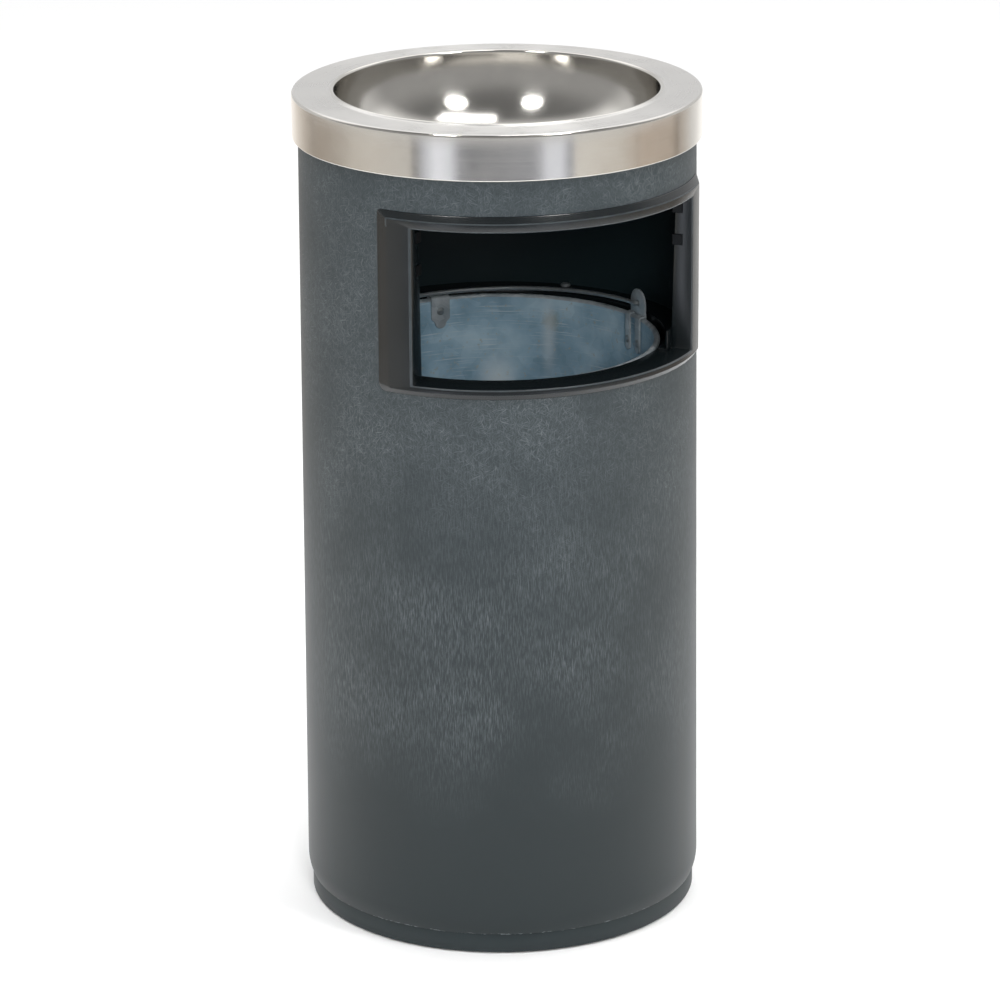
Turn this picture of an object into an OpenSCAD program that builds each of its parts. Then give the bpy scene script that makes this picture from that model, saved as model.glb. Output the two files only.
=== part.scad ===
// Free-standing ashtray bin: a moulded tube on an inset base, a framed side aperture,
// a lift-out galvanised bucket with a wire bail, and a one-piece pressed steel ashtray.
// Millimetres. The origin is on the floor under the tube's axis, +Z is up, the aperture faces -Y.

/* [Body] */
// Height from the floor to the rolled mouth of the ashtray
total_h = 620; // [600:1:660]
// Outer radius of the body at floor level
body_r_low = 148.2; // [148:0.1:149]
// Outer radius of the body at the full height
body_r_high = 144.6; // [144:0.1:145]
// Wall thickness of the moulded body
body_wall = 3; // [2.5:0.1:3.2]
// How far the body's lower edge turns in above the base
edge_in = 3; // [2:0.5:3]

/* [Base] */
// Height of the seam between base and body
seam_z = 15.5; // [15:0.5:18]
// Outer radius of the visible base ring
base_r = 144.8; // [144:0.1:145]
// Thickness of the base's ring wall and floor web
base_wall = 3; // [2.5:0.5:3.5]

/* [Aperture] */
// Half angle of the opening, seen from the axis
open_half = 47.5; // [44:0.5:48]
// Height of the sill, which is the opening's lower edge
sill_z = 434; // [430:1:438]
// Height of the opening
open_h = 113.8; // [100:0.1:118]
// Half angle of the frame's outer edge
frame_half = 59; // [57:0.5:60]
// Radius of the frame's face
frame_r = 149; // [148.6:0.1:150]
// Radius of the inner edge of the frame's return
return_r = 134; // [132:0.5:136]

/* [Ashtray] */
// Outer radius of the skirt
ash_r = 149; // [148.4:0.1:149.5]
// Depth of the skirt below the flat rim
skirt_h = 33.6; // [28:0.2:36]
// Inner radius of the mouth
mouth_r = 118; // [114:1:120]
// Depth of the bowl below the flat rim
bowl_h = 57.1; // [50:0.1:58]
// Sheet thickness
steel_t = 0.9; // [0.8:0.1:1]

/* [Bucket] */
// Height of the top of the bucket's rim above the floor
rim_z = 431.5; // [430:0.5:432]
// Outer radius of the rolled rim
rim_r = 118.9; // [118:0.1:119.5]
// Outer radius of the wall at the foot
foot_r = 103; // [100:0.5:104]
// Sheet thickness
zinc_t = 0.8; // [0.7:0.1:0.9]
// Angle by which the ear axis is turned from the X axis
ear_turn = 3.5; // [0:0.5:6]
// Radius of the bail wire
wire_r = 1.6; // [1.5:0.1:1.8]

/* [Hidden] */
$fn = 96;

// Colours as the eye sees them
body_colour = "#3b4145";
gloss_black = "#17191b";
steel_colour = "#c9c4bb";
zinc_colour = "#8d9aa1";
zinc_dark = "#6f7a80";
rubber_colour = "#1b1b1c";

// Fits
lift_gap = 0.3;
seat_gap = 0.1;

// Heights and radii worked out from the driving sizes
flat_z = total_h - 1.5;
shell_top = flat_z - steel_t - lift_gap;
skirt_z = flat_z - skirt_h;
head_z = sill_z + open_h;
edge_z = seam_z + 14;
lip_r = body_r(seam_z) - edge_in;
inner_low_r = lip_r - body_wall;

// Base
base_floor_z = seam_z - base_wall;
pad_z = 2.5;
base_ring_z = 1;
spigot_wall = 3;
spigot_r = inner_low_r - seat_gap;
spigot_top = seam_z + 11;
boss_r = 6;
rib_t = 3;
base_boss_at = 134;
base_boss_top = 46;
base_boss_z = spigot_top + seat_gap;
screw_r = 1.9;
screw_head_r = 3.8;
screw_head_h = 2.2;
pad_r = 9;
pad_at = 126;
locate_r = foot_r + 3.6;
hub_r = 61;

// Aperture frame
frame_low_z = sill_z - 8;
frame_high_z = head_z + 11.5;
crest_low_z = sill_z - 4.2;
crest_high_z = head_z + 6.3;
crest_half = 55;
frame_edge = 0.7;
return_t = 2.6;
return_half = open_half + 1.2;
cutout_half = return_half + 0.4;
clip_t = 1;
clip_h = 8;
clip_zs = [head_z - 36, head_z - 12];

// Bucket collar and its bosses
collar_r = 123;
collar_t = 3;
collar_lip_h = 9;
collar_boss_at = 137.5;
collar_boss_h = 18;
collar_boss_angles = [75, 135, 225, 285];

// Bucket
foot_z = seam_z + lift_gap;
bead_r = 2.3;
bead_z = rim_z - bead_r;
bead_at = rim_r - bead_r;
bead_wire_r = 1.4;
wall_top_r = rim_r - 2 * bead_r + zinc_t;
disc_z = foot_z + 8.2;
hoop_h = 24;
ear_t = 1.5;
ear_w = 22;
ear_leg_w = 7;
ear_leg_z = rim_z - 27.5;
ear_rivet_z = rim_z - 19.5;
saddle_z = rim_z + lift_gap;
saddle_t = 1.4;
saddle_w = 12;
flap_h = 9;
inner_leg_x = wall_top_r - 3.6;
plate_x = bead_at - 0.4;
flap_x = rim_r + lift_gap;
pivot_z = rim_z + 9.5;
pivot_hole_r = 2.1;
rivet_r = 1.8;
rivet_hole_r = 1.9;
rivet_head_r = 3;
rivet_head_t = 0.9;

// Bail
bail_r = plate_x - wire_r - 0.4;
bail_rest_z = saddle_z + saddle_t + 0.7 + wire_r;
bail_tilt = asin((pivot_z - bail_rest_z) / bail_r);
stud_r = 1.5;
clip_w = 15;
rim_clip_leg_z = rim_z - 19;
clip_rivet_z = rim_z - 10;

// Outer radius of the drafted body at a height
function body_r(z) = body_r_low - (body_r_low - body_r_high) * z / total_h;

// Outer radius of the tapered bucket wall at a height
function wall_r(z) = foot_r + (wall_top_r - foot_r) * (z - foot_z) / (bead_z - foot_z);

// Point in plan at an angle from the aperture's centre line, which is -Y
function plan(angle, r) = [r * sin(angle), -r * cos(angle)];

// A ring or part ring of rectangular section, centred on the aperture
module sector(half, r0, r1, z0, z1) {
    rotate([0, 0, -90 - half])
        rotate_extrude(angle = 2 * half)
            translate([r0, z0])
                square([r1 - r0, z1 - z0]);
}

// A full ring of rectangular section
module ring(r0, r1, z0, z1) {
    rotate_extrude()
        translate([r0, z0])
            square([r1 - r0, z1 - z0]);
}

// An upright rod
module post(r, z0, z1) {
    translate([0, 0, z0])
        cylinder(r = r, h = z1 - z0);
}

// Places children on a circle, at an angle from the aperture's centre line, X pointing outwards
module around(angle, r) {
    rotate([0, 0, angle - 90])
        translate([r, 0, 0])
            children();
}

// Quarter of a bent sheet in section; sx and sy choose the quadrant
module bend(cx, cy, r, t, sx, sy) {
    intersection() {
        translate([cx, cy])
            difference() {
                circle(r = r);
                circle(r = r - t);
            }
        translate([sx > 0 ? cx : cx - r, sy > 0 ? cy : cy - r])
            square([r, r]);
    }
}

// Pan-head screw pointing up, its head's seat at z = 0
module screw(r, length) {
    post(r, -0.6, length);
    post(screw_head_r, -screw_head_h, 0);
}

// Moulded tube with the aperture cut-out, a turned-in lower edge and bosses for the screws
module body_shell() color(body_colour) {
    difference() {
        union() {
            rotate_extrude()
                polygon([
                    [lip_r, seam_z],
                    [body_r(edge_z) - 1.1, seam_z + 6],
                    [body_r(edge_z), edge_z],
                    [body_r(shell_top), shell_top],
                    [body_r(shell_top) - body_wall, shell_top],
                    [body_r(edge_z) - body_wall, edge_z],
                    [inner_low_r, seam_z]
                ]);
            for (a = [45 : 90 : 315])
                around(a, base_boss_at) {
                    post(boss_r, base_boss_z, base_boss_top);
                    translate([0, -rib_t / 2, base_boss_z])
                        cube([body_r(base_boss_top) - base_boss_at - 1, rib_t, base_boss_top - base_boss_z]);
                }
            for (a = collar_boss_angles)
                around(a, collar_boss_at)
                    post(boss_r, sill_z - collar_t - collar_boss_h, sill_z - collar_t);
        }
        sector(cutout_half, return_r - 4, frame_r + 4, sill_z - return_t - 0.4, head_z + return_t + 0.4);
        for (a = [45 : 90 : 315])
            around(a, base_boss_at)
                post(screw_r + 0.05, base_boss_z - 1, base_boss_top - 4);
        for (a = collar_boss_angles)
            around(a, collar_boss_at)
                post(screw_r + 0.05, sill_z - collar_t - collar_boss_h + 4, sill_z - collar_t + 1);
    }
}

// Inset base: visible ring, floor web, spigot inside the body and a ring that centres the bucket
module base_plate() color(body_colour) {
    difference() {
        union() {
            ring(base_r - base_wall, base_r, base_ring_z, seam_z);
            post(base_r - 1, base_floor_z, seam_z);
            ring(spigot_r - spigot_wall, spigot_r, base_floor_z, spigot_top);
            ring(locate_r - 2, locate_r, base_floor_z, seam_z + 5.5);
            ring(hub_r - 3, hub_r, base_ring_z + 3, seam_z - 1);
            for (a = [0 : 90 : 270])
                around(a, hub_r - 1)
                    translate([0, -1.25, base_ring_z + 3])
                        cube([base_r - base_wall + 2 - hub_r, 2.5, base_floor_z - base_ring_z - 2.5]);
            for (a = [45 : 90 : 315])
                around(a, base_boss_at)
                    post(boss_r + 1, base_floor_z - 4, spigot_top - 0.5);
            for (a = [22.5 : 90 : 292.5])
                around(a, pad_at)
                    post(pad_r + 1.5, pad_z, base_floor_z + 1);
        }
        for (a = [45 : 90 : 315])
            around(a, base_boss_at) {
                post(screw_r + 0.3, 0, spigot_top + 1);
                post(screw_head_r + 0.4, 0, base_floor_z);
            }
    }
}

// Four self-tapping screws, driven up through the base into the body's bosses
module base_screws() color(zinc_dark) {
    for (a = [45 : 90 : 315])
        around(a, base_boss_at)
            translate([0, 0, base_floor_z])
                screw(screw_r, base_boss_top - 6 - base_floor_z);
}

// Four rubber pads under the base
module foot_pads() color(rubber_colour) {
    for (a = [22.5 : 90 : 292.5])
        around(a, pad_at)
            post(pad_r, 0, pad_z);
}

// Half-plane in plan beyond the sloped end facet of the frame, on one side
module end_slope(side) {
    inner = plan(crest_half * side, frame_r);
    outer = plan(frame_half * side, body_r(sill_z) + frame_edge);
    run = (outer - inner) / norm(outer - inner);
    out = [run[1], -run[0]] * side;
    linear_extrude(height = frame_high_z + 4)
        polygon([
            inner - run * 8,
            outer + run * 20,
            outer + run * 20 + out * 24,
            inner - run * 8 + out * 24
        ]);
}

// Glossy surround: a bevelled flange on the body's face and a return that lines the opening
module aperture_frame() color(gloss_black) {
    difference() {
        union() {
            difference() {
                rotate([0, 0, -90 - frame_half])
                    rotate_extrude(angle = 2 * frame_half)
                        polygon([
                            [body_r(frame_low_z) + seat_gap, frame_low_z],
                            [body_r(frame_low_z) + frame_edge, frame_low_z],
                            [frame_r, crest_low_z],
                            [frame_r, crest_high_z],
                            [body_r(frame_high_z) + frame_edge, frame_high_z],
                            [body_r(frame_high_z) + seat_gap, frame_high_z]
                        ]);
                for (side = [-1, 1])
                    end_slope(side);
            }
            sector(return_half, return_r, frame_r - 1.5, sill_z - return_t, head_z + return_t);
        }
        sector(open_half, return_r - 4, frame_r + 4, sill_z, head_z);
    }
}

// Spring clips pushed over the inner edge of the frame's return, two at each side
module frame_clips() color(gloss_black) {
    for (side = [-1, 1])
        for (z = clip_zs)
            rotate([0, 0, side * (open_half + 0.6) - 90])
                translate([return_r, 0, z])
                    frame_clip(side);
}

// One U-shaped clip; its legs run outwards on both faces of the return
module frame_clip(side) {
    gap = 3.2;
    translate([-clip_t - 0.2, -gap / 2 - clip_t, 0])
        cube([clip_t, gap + 2 * clip_t, clip_h]);
    for (face = [-1, 1])
        translate([-clip_t - 0.2, face * (gap / 2 + clip_t / 2) - clip_t / 2, 0])
            cube([face == side ? 7.6 : 4.6, clip_t, clip_h]);
}

// Black ring round the bucket's rim that hides the gap to the body
module bucket_collar() color(gloss_black) {
    difference() {
        union() {
            ring(collar_r, body_r(sill_z) - body_wall - 0.4, sill_z - collar_t, sill_z);
            ring(collar_r, collar_r + 2, sill_z - collar_lip_h, sill_z);
        }
        sector(cutout_half + 0.6, return_r - 0.4, frame_r, sill_z - collar_t - 1, sill_z + 1);
        for (a = collar_boss_angles)
            around(a, collar_boss_at)
                post(screw_r + 0.3, sill_z - collar_t - 1, sill_z + 1);
    }
}

// Four screws that hold the collar down on the body's bosses
module collar_screws() color(zinc_dark) {
    for (a = collar_boss_angles)
        around(a, collar_boss_at)
            translate([0, 0, sill_z])
                mirror([0, 0, 1])
                    screw(screw_r, collar_t + 12);
}

// Angle clip that ties the collar to the right end of the sill
module collar_clip() color(gloss_black) {
    around(open_half - 2.2, 0) {
        translate([return_r - 2.4, -3.5, sill_z])
            cube([1.6, 7, 15]);
        translate([return_r - 8, -3.5, sill_z])
            cube([7, 7, 1.4]);
    }
}

// One stainless pressing: hemmed skirt, flat rim, small rolled mouth and round bowl
module ashtray() color(steel_colour) {
    edge_r = 2.2;
    roll_r = 2.1;
    hem_r = 1.2;
    roll_at = mouth_r + roll_r;
    roll_z = flat_z - 0.6;
    curve_r = 55;
    floor_z = flat_z - bowl_h;
    rotate_extrude()
        union() {
            translate([ash_r - steel_t, skirt_z + hem_r])
                square([steel_t, flat_z - edge_r - skirt_z - hem_r]);
            bend(ash_r - edge_r, flat_z - edge_r, edge_r, steel_t, 1, 1);
            translate([roll_at + roll_r - steel_t, flat_z - steel_t])
                square([ash_r - edge_r - roll_at - roll_r + steel_t, steel_t]);
            bend(roll_at, roll_z, roll_r, steel_t, 1, 1);
            bend(roll_at, roll_z, roll_r, steel_t, -1, 1);
            translate([mouth_r, floor_z + curve_r])
                square([steel_t, roll_z - floor_z - curve_r]);
            bend(mouth_r - curve_r, floor_z + curve_r, curve_r + steel_t, steel_t, 1, -1);
            translate([0, floor_z - steel_t])
                square([mouth_r - curve_r, steel_t]);
            translate([ash_r - hem_r, skirt_z + hem_r])
                circle(r = hem_r);
        }
}

// Galvanised bucket wall with its rolled rim and a lock seam down the outside
module bucket_wall() color(zinc_colour) {
    difference() {
        union() {
            rotate_extrude()
                union() {
                    polygon([
                        [foot_r - zinc_t, foot_z],
                        [foot_r, foot_z],
                        [wall_top_r, bead_z],
                        [wall_top_r - zinc_t, bead_z]
                    ]);
                    translate([bead_at, bead_z])
                        difference() {
                            circle(r = bead_r);
                            circle(r = bead_r - zinc_t);
                        }
                }
            rotate([0, 0, -90])
                rotate([90, 0, 0])
                    linear_extrude(height = 8, center = true)
                        polygon([
                            [wall_r(foot_z + hoop_h + 2) - 0.4, foot_z + hoop_h + 2],
                            [wall_r(foot_z + hoop_h + 2) + 0.9, foot_z + hoop_h + 2],
                            [wall_r(bead_z - 6) + 0.9, bead_z - 6],
                            [wall_r(bead_z - 6) - 0.4, bead_z - 6]
                        ]);
        }
        for (side = [0, 180])
            rotate([0, 0, ear_turn + side])
                for (y = [-1, 1])
                    translate([wall_top_r, y * (ear_w - ear_leg_w) / 2, ear_rivet_z])
                        rotate([0, 90, 0])
                            cylinder(r = rivet_hole_r, h = 12, center = true);
        translate([0, wall_top_r, clip_rivet_z])
            rotate([90, 0, 0])
                cylinder(r = rivet_hole_r, h = 12, center = true);
    }
}

// Bucket bottom: a flat disc with a turned-down edge inside the wall's foot
module bucket_base() color(zinc_colour) {
    post(wall_r(disc_z) - zinc_t - 0.2, disc_z, disc_z + zinc_t);
    ring(foot_r - 2 * zinc_t - 0.3, foot_r - zinc_t - 0.3, foot_z + 1, disc_z + zinc_t);
}

// Stiffening hoop round the bucket's foot
module bucket_foot_hoop() color(zinc_dark) {
    rotate_extrude()
        polygon([
            [wall_r(foot_z) + 0.05, foot_z],
            [wall_r(foot_z) + 1.1, foot_z],
            [wall_r(foot_z + hoop_h) + 1.1, foot_z + hoop_h],
            [wall_r(foot_z + hoop_h) + 0.05, foot_z + hoop_h]
        ]);
}

// Steel wire inside the rolled rim
module bucket_rim_wire() color(zinc_dark) {
    rotate_extrude()
        translate([bead_at, bead_z])
            circle(r = bead_wire_r);
}

// Ear bracket on the +X side of the bucket: two inner legs, a saddle over the rim,
// an outer flap and a round-topped plate with the bail's hole
module ear() {
    difference() {
        union() {
            for (y = [-ear_w / 2, ear_w / 2 - ear_leg_w])
                translate([inner_leg_x, y, ear_leg_z])
                    cube([ear_t, ear_leg_w, saddle_z + saddle_t - ear_leg_z]);
            translate([inner_leg_x, -ear_w / 2, saddle_z])
                cube([plate_x + ear_t - inner_leg_x, ear_w, saddle_t]);
            translate([plate_x, -ear_w / 2, saddle_z])
                cube([ear_t, ear_w, pivot_z - saddle_z]);
            intersection() {
                translate([plate_x, 0, pivot_z])
                    rotate([0, 90, 0])
                        cylinder(r = ear_w / 2, h = ear_t);
                translate([plate_x - 1, -ear_w, saddle_z])
                    cube([ear_t + 2, 2 * ear_w, 2 * ear_w]);
            }
            translate([plate_x, -saddle_w / 2, saddle_z])
                cube([flap_x + ear_t - plate_x, saddle_w, saddle_t]);
            translate([flap_x, -saddle_w / 2, saddle_z - flap_h])
                cube([ear_t, saddle_w, flap_h + saddle_t]);
        }
        translate([plate_x, 0, pivot_z])
            rotate([0, 90, 0])
                cylinder(r = pivot_hole_r, h = 12, center = true);
        for (y = [-1, 1])
            translate([inner_leg_x, y * (ear_w - ear_leg_w) / 2, ear_rivet_z])
                rotate([0, 90, 0])
                    cylinder(r = rivet_hole_r, h = 6, center = true);
    }
}

module bucket_ear_right() color(zinc_colour) {
    rotate([0, 0, ear_turn])
        ear();
}

module bucket_ear_left() color(zinc_colour) {
    rotate([0, 0, ear_turn + 180])
        ear();
}

// Rivet along X from the inner head at x0 to the wall's outer face
module rivet(x0, z) {
    x1 = wall_r(z) + 0.3;
    translate([x0 - rivet_head_t, 0, z])
        rotate([0, 90, 0])
            cylinder(r = rivet_head_r, h = rivet_head_t);
    translate([x0 - rivet_head_t, 0, z])
        rotate([0, 90, 0])
            cylinder(r = rivet_r, h = x1 - x0 + 2 * rivet_head_t);
    translate([x1, 0, z])
        rotate([0, 90, 0])
            cylinder(r = rivet_head_r, h = rivet_head_t);
}

// Two rivets for each ear
module ear_rivets() color(zinc_dark) {
    for (side = [0, 180])
        rotate([0, 0, ear_turn + side])
            for (y = [-1, 1])
                translate([0, y * (ear_w - ear_leg_w) / 2, 0])
                    rivet(inner_leg_x, ear_rivet_z);
}

// Saddle clip at the back of the rim, on which the lowered bail rests
module rim_clip() color(zinc_colour) {
    rotate([0, 0, 90])
        difference() {
            union() {
                translate([inner_leg_x, -clip_w / 2, rim_clip_leg_z])
                    cube([ear_t, clip_w, saddle_z + saddle_t - rim_clip_leg_z]);
                translate([inner_leg_x, 0, rim_clip_leg_z])
                    rotate([0, 90, 0])
                        cylinder(r = 4.5, h = ear_t);
                translate([inner_leg_x, -clip_w / 2, saddle_z])
                    cube([flap_x + ear_t - inner_leg_x, clip_w, saddle_t]);
                translate([flap_x, -clip_w / 2, saddle_z - flap_h])
                    cube([ear_t, clip_w, flap_h + saddle_t]);
            }
            translate([inner_leg_x, 0, clip_rivet_z])
                rotate([0, 90, 0])
                    cylinder(r = rivet_hole_r, h = 6, center = true);
        }
}

// Rivet that holds the rim clip
module clip_rivet() color(zinc_dark) {
    rotate([0, 0, 90])
        rivet(inner_leg_x, clip_rivet_z);
}

// Wire bail, lowered to the back; its ends are bent outwards through the ears
module bail_handle() color(zinc_dark) {
    rotate([0, 0, ear_turn])
        translate([0, 0, pivot_z])
            rotate([-bail_tilt, 0, 0]) {
                rotate_extrude(angle = 180)
                    translate([bail_r, 0])
                        circle(r = wire_r);
                for (side = [-1, 1])
                    translate([side * bail_r, 0, 0])
                        rotate([0, side * 90, 0])
                            cylinder(r = stud_r, h = flap_x + 1.6 - bail_r);
            }
}

body_shell();
base_plate();
base_screws();
foot_pads();
aperture_frame();
frame_clips();
bucket_collar();
collar_screws();
collar_clip();
ashtray();
bucket_wall();
bucket_base();
bucket_foot_hoop();
bucket_rim_wire();
bucket_ear_right();
bucket_ear_left();
ear_rivets();
rim_clip();
clip_rivet();
bail_handle();
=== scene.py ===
import math

import bmesh
import bpy
from mathutils import Matrix, Vector


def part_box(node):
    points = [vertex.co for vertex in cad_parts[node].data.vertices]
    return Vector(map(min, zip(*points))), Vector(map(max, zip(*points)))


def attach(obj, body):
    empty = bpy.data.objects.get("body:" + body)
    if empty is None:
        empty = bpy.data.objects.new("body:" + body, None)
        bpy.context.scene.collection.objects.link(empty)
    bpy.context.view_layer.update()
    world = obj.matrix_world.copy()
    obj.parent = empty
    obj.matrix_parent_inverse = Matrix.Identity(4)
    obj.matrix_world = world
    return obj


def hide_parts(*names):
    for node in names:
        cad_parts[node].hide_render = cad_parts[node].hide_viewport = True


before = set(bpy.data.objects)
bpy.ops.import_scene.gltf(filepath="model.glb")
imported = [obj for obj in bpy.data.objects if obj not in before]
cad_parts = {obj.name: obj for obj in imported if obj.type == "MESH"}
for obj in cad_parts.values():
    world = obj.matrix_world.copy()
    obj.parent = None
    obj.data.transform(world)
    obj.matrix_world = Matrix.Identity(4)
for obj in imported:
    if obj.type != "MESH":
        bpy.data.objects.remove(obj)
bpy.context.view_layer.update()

mm = 0.001
scene = bpy.context.scene


# ---- Camera -----------------------------------------------------------------
# A long lens a little above the ashtray; the aperture, on -Y, is turned to the right.
EYE_TURN = math.radians(-23.12)
EYE_DOWN = math.radians(18.117)
EYE_ROLL = math.radians(-0.437)
EYE_AWAY = 3.21875
EYE_HIGH = 1.35717

eye_data = bpy.data.cameras.new("eye")
eye_data.lens = 163.52
eye_data.sensor_width = 36
eye_data.clip_end = 50
eye = bpy.data.objects.new("eye", eye_data)
scene.collection.objects.link(eye)
eye_place = Vector((EYE_AWAY * math.sin(EYE_TURN), -EYE_AWAY * math.cos(EYE_TURN), EYE_HIGH))
eye.matrix_world = (
    Matrix.Translation(eye_place)
    @ Matrix.Rotation(EYE_TURN, 4, "Z")
    @ Matrix.Rotation(math.pi / 2 - EYE_DOWN, 4, "X")
    @ Matrix.Rotation(EYE_ROLL, 4, "Z")
)
scene.camera = eye
scene.view_settings.view_transform = "Standard"


# ---- Studio -----------------------------------------------------------------
# A white floor, a pale backdrop behind, a dim room in front and two round softboxes,
# with a low screen that only shiny surfaces see, so that polished steel has something to mirror.
def linear(code):
    """The linear colour of an sRGB hex value."""
    levels = [int(code[i : i + 2], 16) / 255 for i in (1, 3, 5)]
    return tuple(v / 12.92 if v <= 0.04045 else ((v + 0.055) / 1.055) ** 2.4 for v in levels) + (1.0,)


def feed(node, feeds):
    """Sets a node's inputs from values, from sockets, or from nodes, whose first output in use is taken."""
    for name, value in feeds.items():
        if isinstance(value, bpy.types.Node):
            value = next(socket for socket in value.outputs if socket.enabled)
        if isinstance(value, bpy.types.NodeSocket):
            node.id_data.links.new(value, node.inputs[name])
        else:
            node.inputs[name].default_value = value


def add_node(tree, kind, feeds=None, **settings):
    """Adds a node with its settings and then its feeds."""
    made = tree.nodes.new(kind)
    for name, value in settings.items():
        setattr(made, name, value)
    feed(made, feeds or {})
    return made


def set_stops(node, stops):
    """Gives a colour ramp its stops, as (place, grey or colour) pairs."""
    ramp = node.color_ramp
    while len(ramp.elements) > 1:
        ramp.elements.remove(ramp.elements[-1])
    for i, (place, tone) in enumerate(stops):
        stop = ramp.elements[0] if i == 0 else ramp.elements.new(place)
        stop.position = place
        stop.color = tone if isinstance(tone, tuple) else (tone, tone, tone, 1.0)


def link_mesh(name, mesh):
    """Links a mesh to the scene as an object at the origin."""
    made = bpy.data.objects.new(name, mesh)
    scene.collection.objects.link(made)
    return made


FLOOR_HALF = 7.0
floor_mesh = bpy.data.meshes.new("floor")
floor_corners = [(x * FLOOR_HALF, y * FLOOR_HALF, 0) for x, y in ((-1, -1), (1, -1), (1, 1), (-1, 1))]
floor_mesh.from_pydata(floor_corners, [], [(0, 1, 2, 3)])
floor = link_mesh("floor", floor_mesh)
floor_paint = bpy.data.materials.new("floor_paper")
floor_paint.use_nodes = True
paper = floor_paint.node_tree.nodes["Principled BSDF"]
paper.inputs["Base Color"].default_value = linear("#fbfbfb")
paper.inputs["Roughness"].default_value = 0.9
paper.inputs["Specular IOR Level"].default_value = 0.1
floor_mesh.materials.append(floor_paint)

# The room's light: bright behind the bin, dim on the camera's side and darkest high up. Each row is what is
# read, its range and the light at both ends: how far behind, the front by height, the back by height.
room = bpy.data.worlds.new("room")
scene.world = room
room.use_nodes = True
air = room.node_tree
air.nodes.clear()
look = add_node(air, "ShaderNodeTexCoord").outputs["Generated"]
away = Vector((-math.sin(EYE_TURN), math.cos(EYE_TURN), 0))
behind = add_node(air, "ShaderNodeVectorMath", {0: look, 1: away}, operation="DOT_PRODUCT")
height = add_node(air, "ShaderNodeSeparateXYZ", {"Vector": look}).outputs["Z"]
glows = []
for seen, low, high, at_low, at_high in (
    (behind, 0.0, 0.5, 0.0, 1.0), (height, 0.4, 0.9, 0.42, 0.2), (height, 0.36, 0.6, 0.8, 1.6)
):
    levels = {"Value": seen, "From Min": low, "From Max": high, "To Min": at_low, "To Max": at_high}
    glows.append(add_node(air, "ShaderNodeMapRange", levels, interpolation_type="SMOOTHSTEP"))
level = add_node(air, "ShaderNodeMix", {"Factor": glows[0], "A": glows[1], "B": glows[2]})
room_light = add_node(air, "ShaderNodeBackground", {"Color": (1, 1, 1, 1), "Strength": level})
add_node(air, "ShaderNodeOutputWorld", {"Surface": room_light})


def sky_point(turn, rise, away_by):
    """A point seen from the bin at an angle from the camera's side and a height angle, in degrees."""
    angle = EYE_TURN + math.radians(turn)
    flat = away_by * math.cos(math.radians(rise))
    return Vector((flat * math.sin(angle), -flat * math.cos(angle), away_by * math.sin(math.radians(rise))))


def add_softbox(name, turn, rise, away_by, size, power, mirrored=True):
    """A round softbox that points at the top of the bin; shiny surfaces see it only if it is mirrored."""
    data = bpy.data.lights.new(name, "AREA")
    data.shape = "DISK"
    data.size = size
    data.energy = power
    made = bpy.data.objects.new(name, data)
    aim = Vector((0, 0, 0.45))
    place = sky_point(turn, rise, away_by) + aim
    facing = (aim - place).to_track_quat("-Z", "Y").to_matrix().to_4x4()
    made.matrix_world = Matrix.Translation(place) @ facing
    made.visible_glossy = mirrored
    scene.collection.objects.link(made)


add_softbox("softbox_left", -43, 62, 2.4, 0.4, 13)
add_softbox("softbox_right", 48, 60, 2.4, 0.42, 16)
add_softbox("fill", 8, 21, 2.6, 0.7, 30, mirrored=False)
add_softbox("overhead", 0, 89, 3.4, 13.0, 185, mirrored=False)

# One ceiling panel, to the right of the bin
panel_data = bpy.data.lights.new("ceiling_panel", "AREA")
panel_data.shape = "RECTANGLE"
panel_data.size = 1.12
panel_data.size_y = 0.6
panel_data.energy = 9
panel = bpy.data.objects.new("ceiling_panel", panel_data)
panel.matrix_world = Matrix.Rotation(EYE_TURN, 4, "Z") @ Matrix.Translation((0.58, 0.2, 3.06))
scene.collection.objects.link(panel)

# The low screen: bright and dark uprights by angle from the camera's side, in degrees
SCREEN_R = 1.2
SCREEN_LOW = 0.01
SCREEN_HIGH = 0.42
SCREEN_SIDES = 96
SCREEN_TONES = [
    (-180, 1.15), (-150, 1.10), (-118, 0.48), (-97, 0.60), (-86, 0.68), (-84, 0.76), (-68, 0.86),
    (-47, 0.78),
    (-44.5, 0.42), (-42.5, 0.46), (-39, 0.84), (-32, 1.45), (-25, 1.25), (-19, 0.48), (-13, 0.34),
    (0, 0.38),
    (18, 0.50), (22, 0.70), (26, 1.20), (33, 1.25), (38, 0.66), (40, 0.70), (41.5, 0.96), (60, 0.90),
    (78, 0.72),
    (80, 0.62), (82, 0.72), (108, 0.62), (114, 0.42), (118, 0.60), (150, 1.2), (180, 1.15),
]
SCREEN_TINTS = [
    (-180, "#fffdfa"), (-112, "#fff1e2"), (-80, "#fff8ee"), (-46, "#fffbf5"), (-40, "#f0f4ff"),
    (38, "#f0f4ff"),
    (42, "#fffbf5"), (68, "#fff8ee"), (84, "#ffeedd"), (112, "#ffeedd"), (132, "#fffdfa"), (180, "#fffdfa"),
]
screen_mesh = bpy.data.meshes.new("screen")
sides = range(SCREEN_SIDES)
turns = [2 * math.pi * i / SCREEN_SIDES for i in sides]
screen_mesh.from_pydata(
    [(SCREEN_R * math.cos(a), SCREEN_R * math.sin(a), z) for z in (SCREEN_LOW, SCREEN_HIGH) for a in turns],
    [],
    [(i, j, j + SCREEN_SIDES, i + SCREEN_SIDES) for i, j in zip(sides, list(sides[1:]) + [0])],
)
screen = link_mesh("screen", screen_mesh)
for rays in ("camera", "diffuse", "shadow", "transmission"):
    setattr(screen, "visible_" + rays, False)
screen_glow = bpy.data.materials.new("screen_glow")
screen_glow.use_nodes = True
glow = screen_glow.node_tree
glow.nodes.clear()
spot = add_node(glow, "ShaderNodeTexCoord").outputs["Object"]
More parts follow.
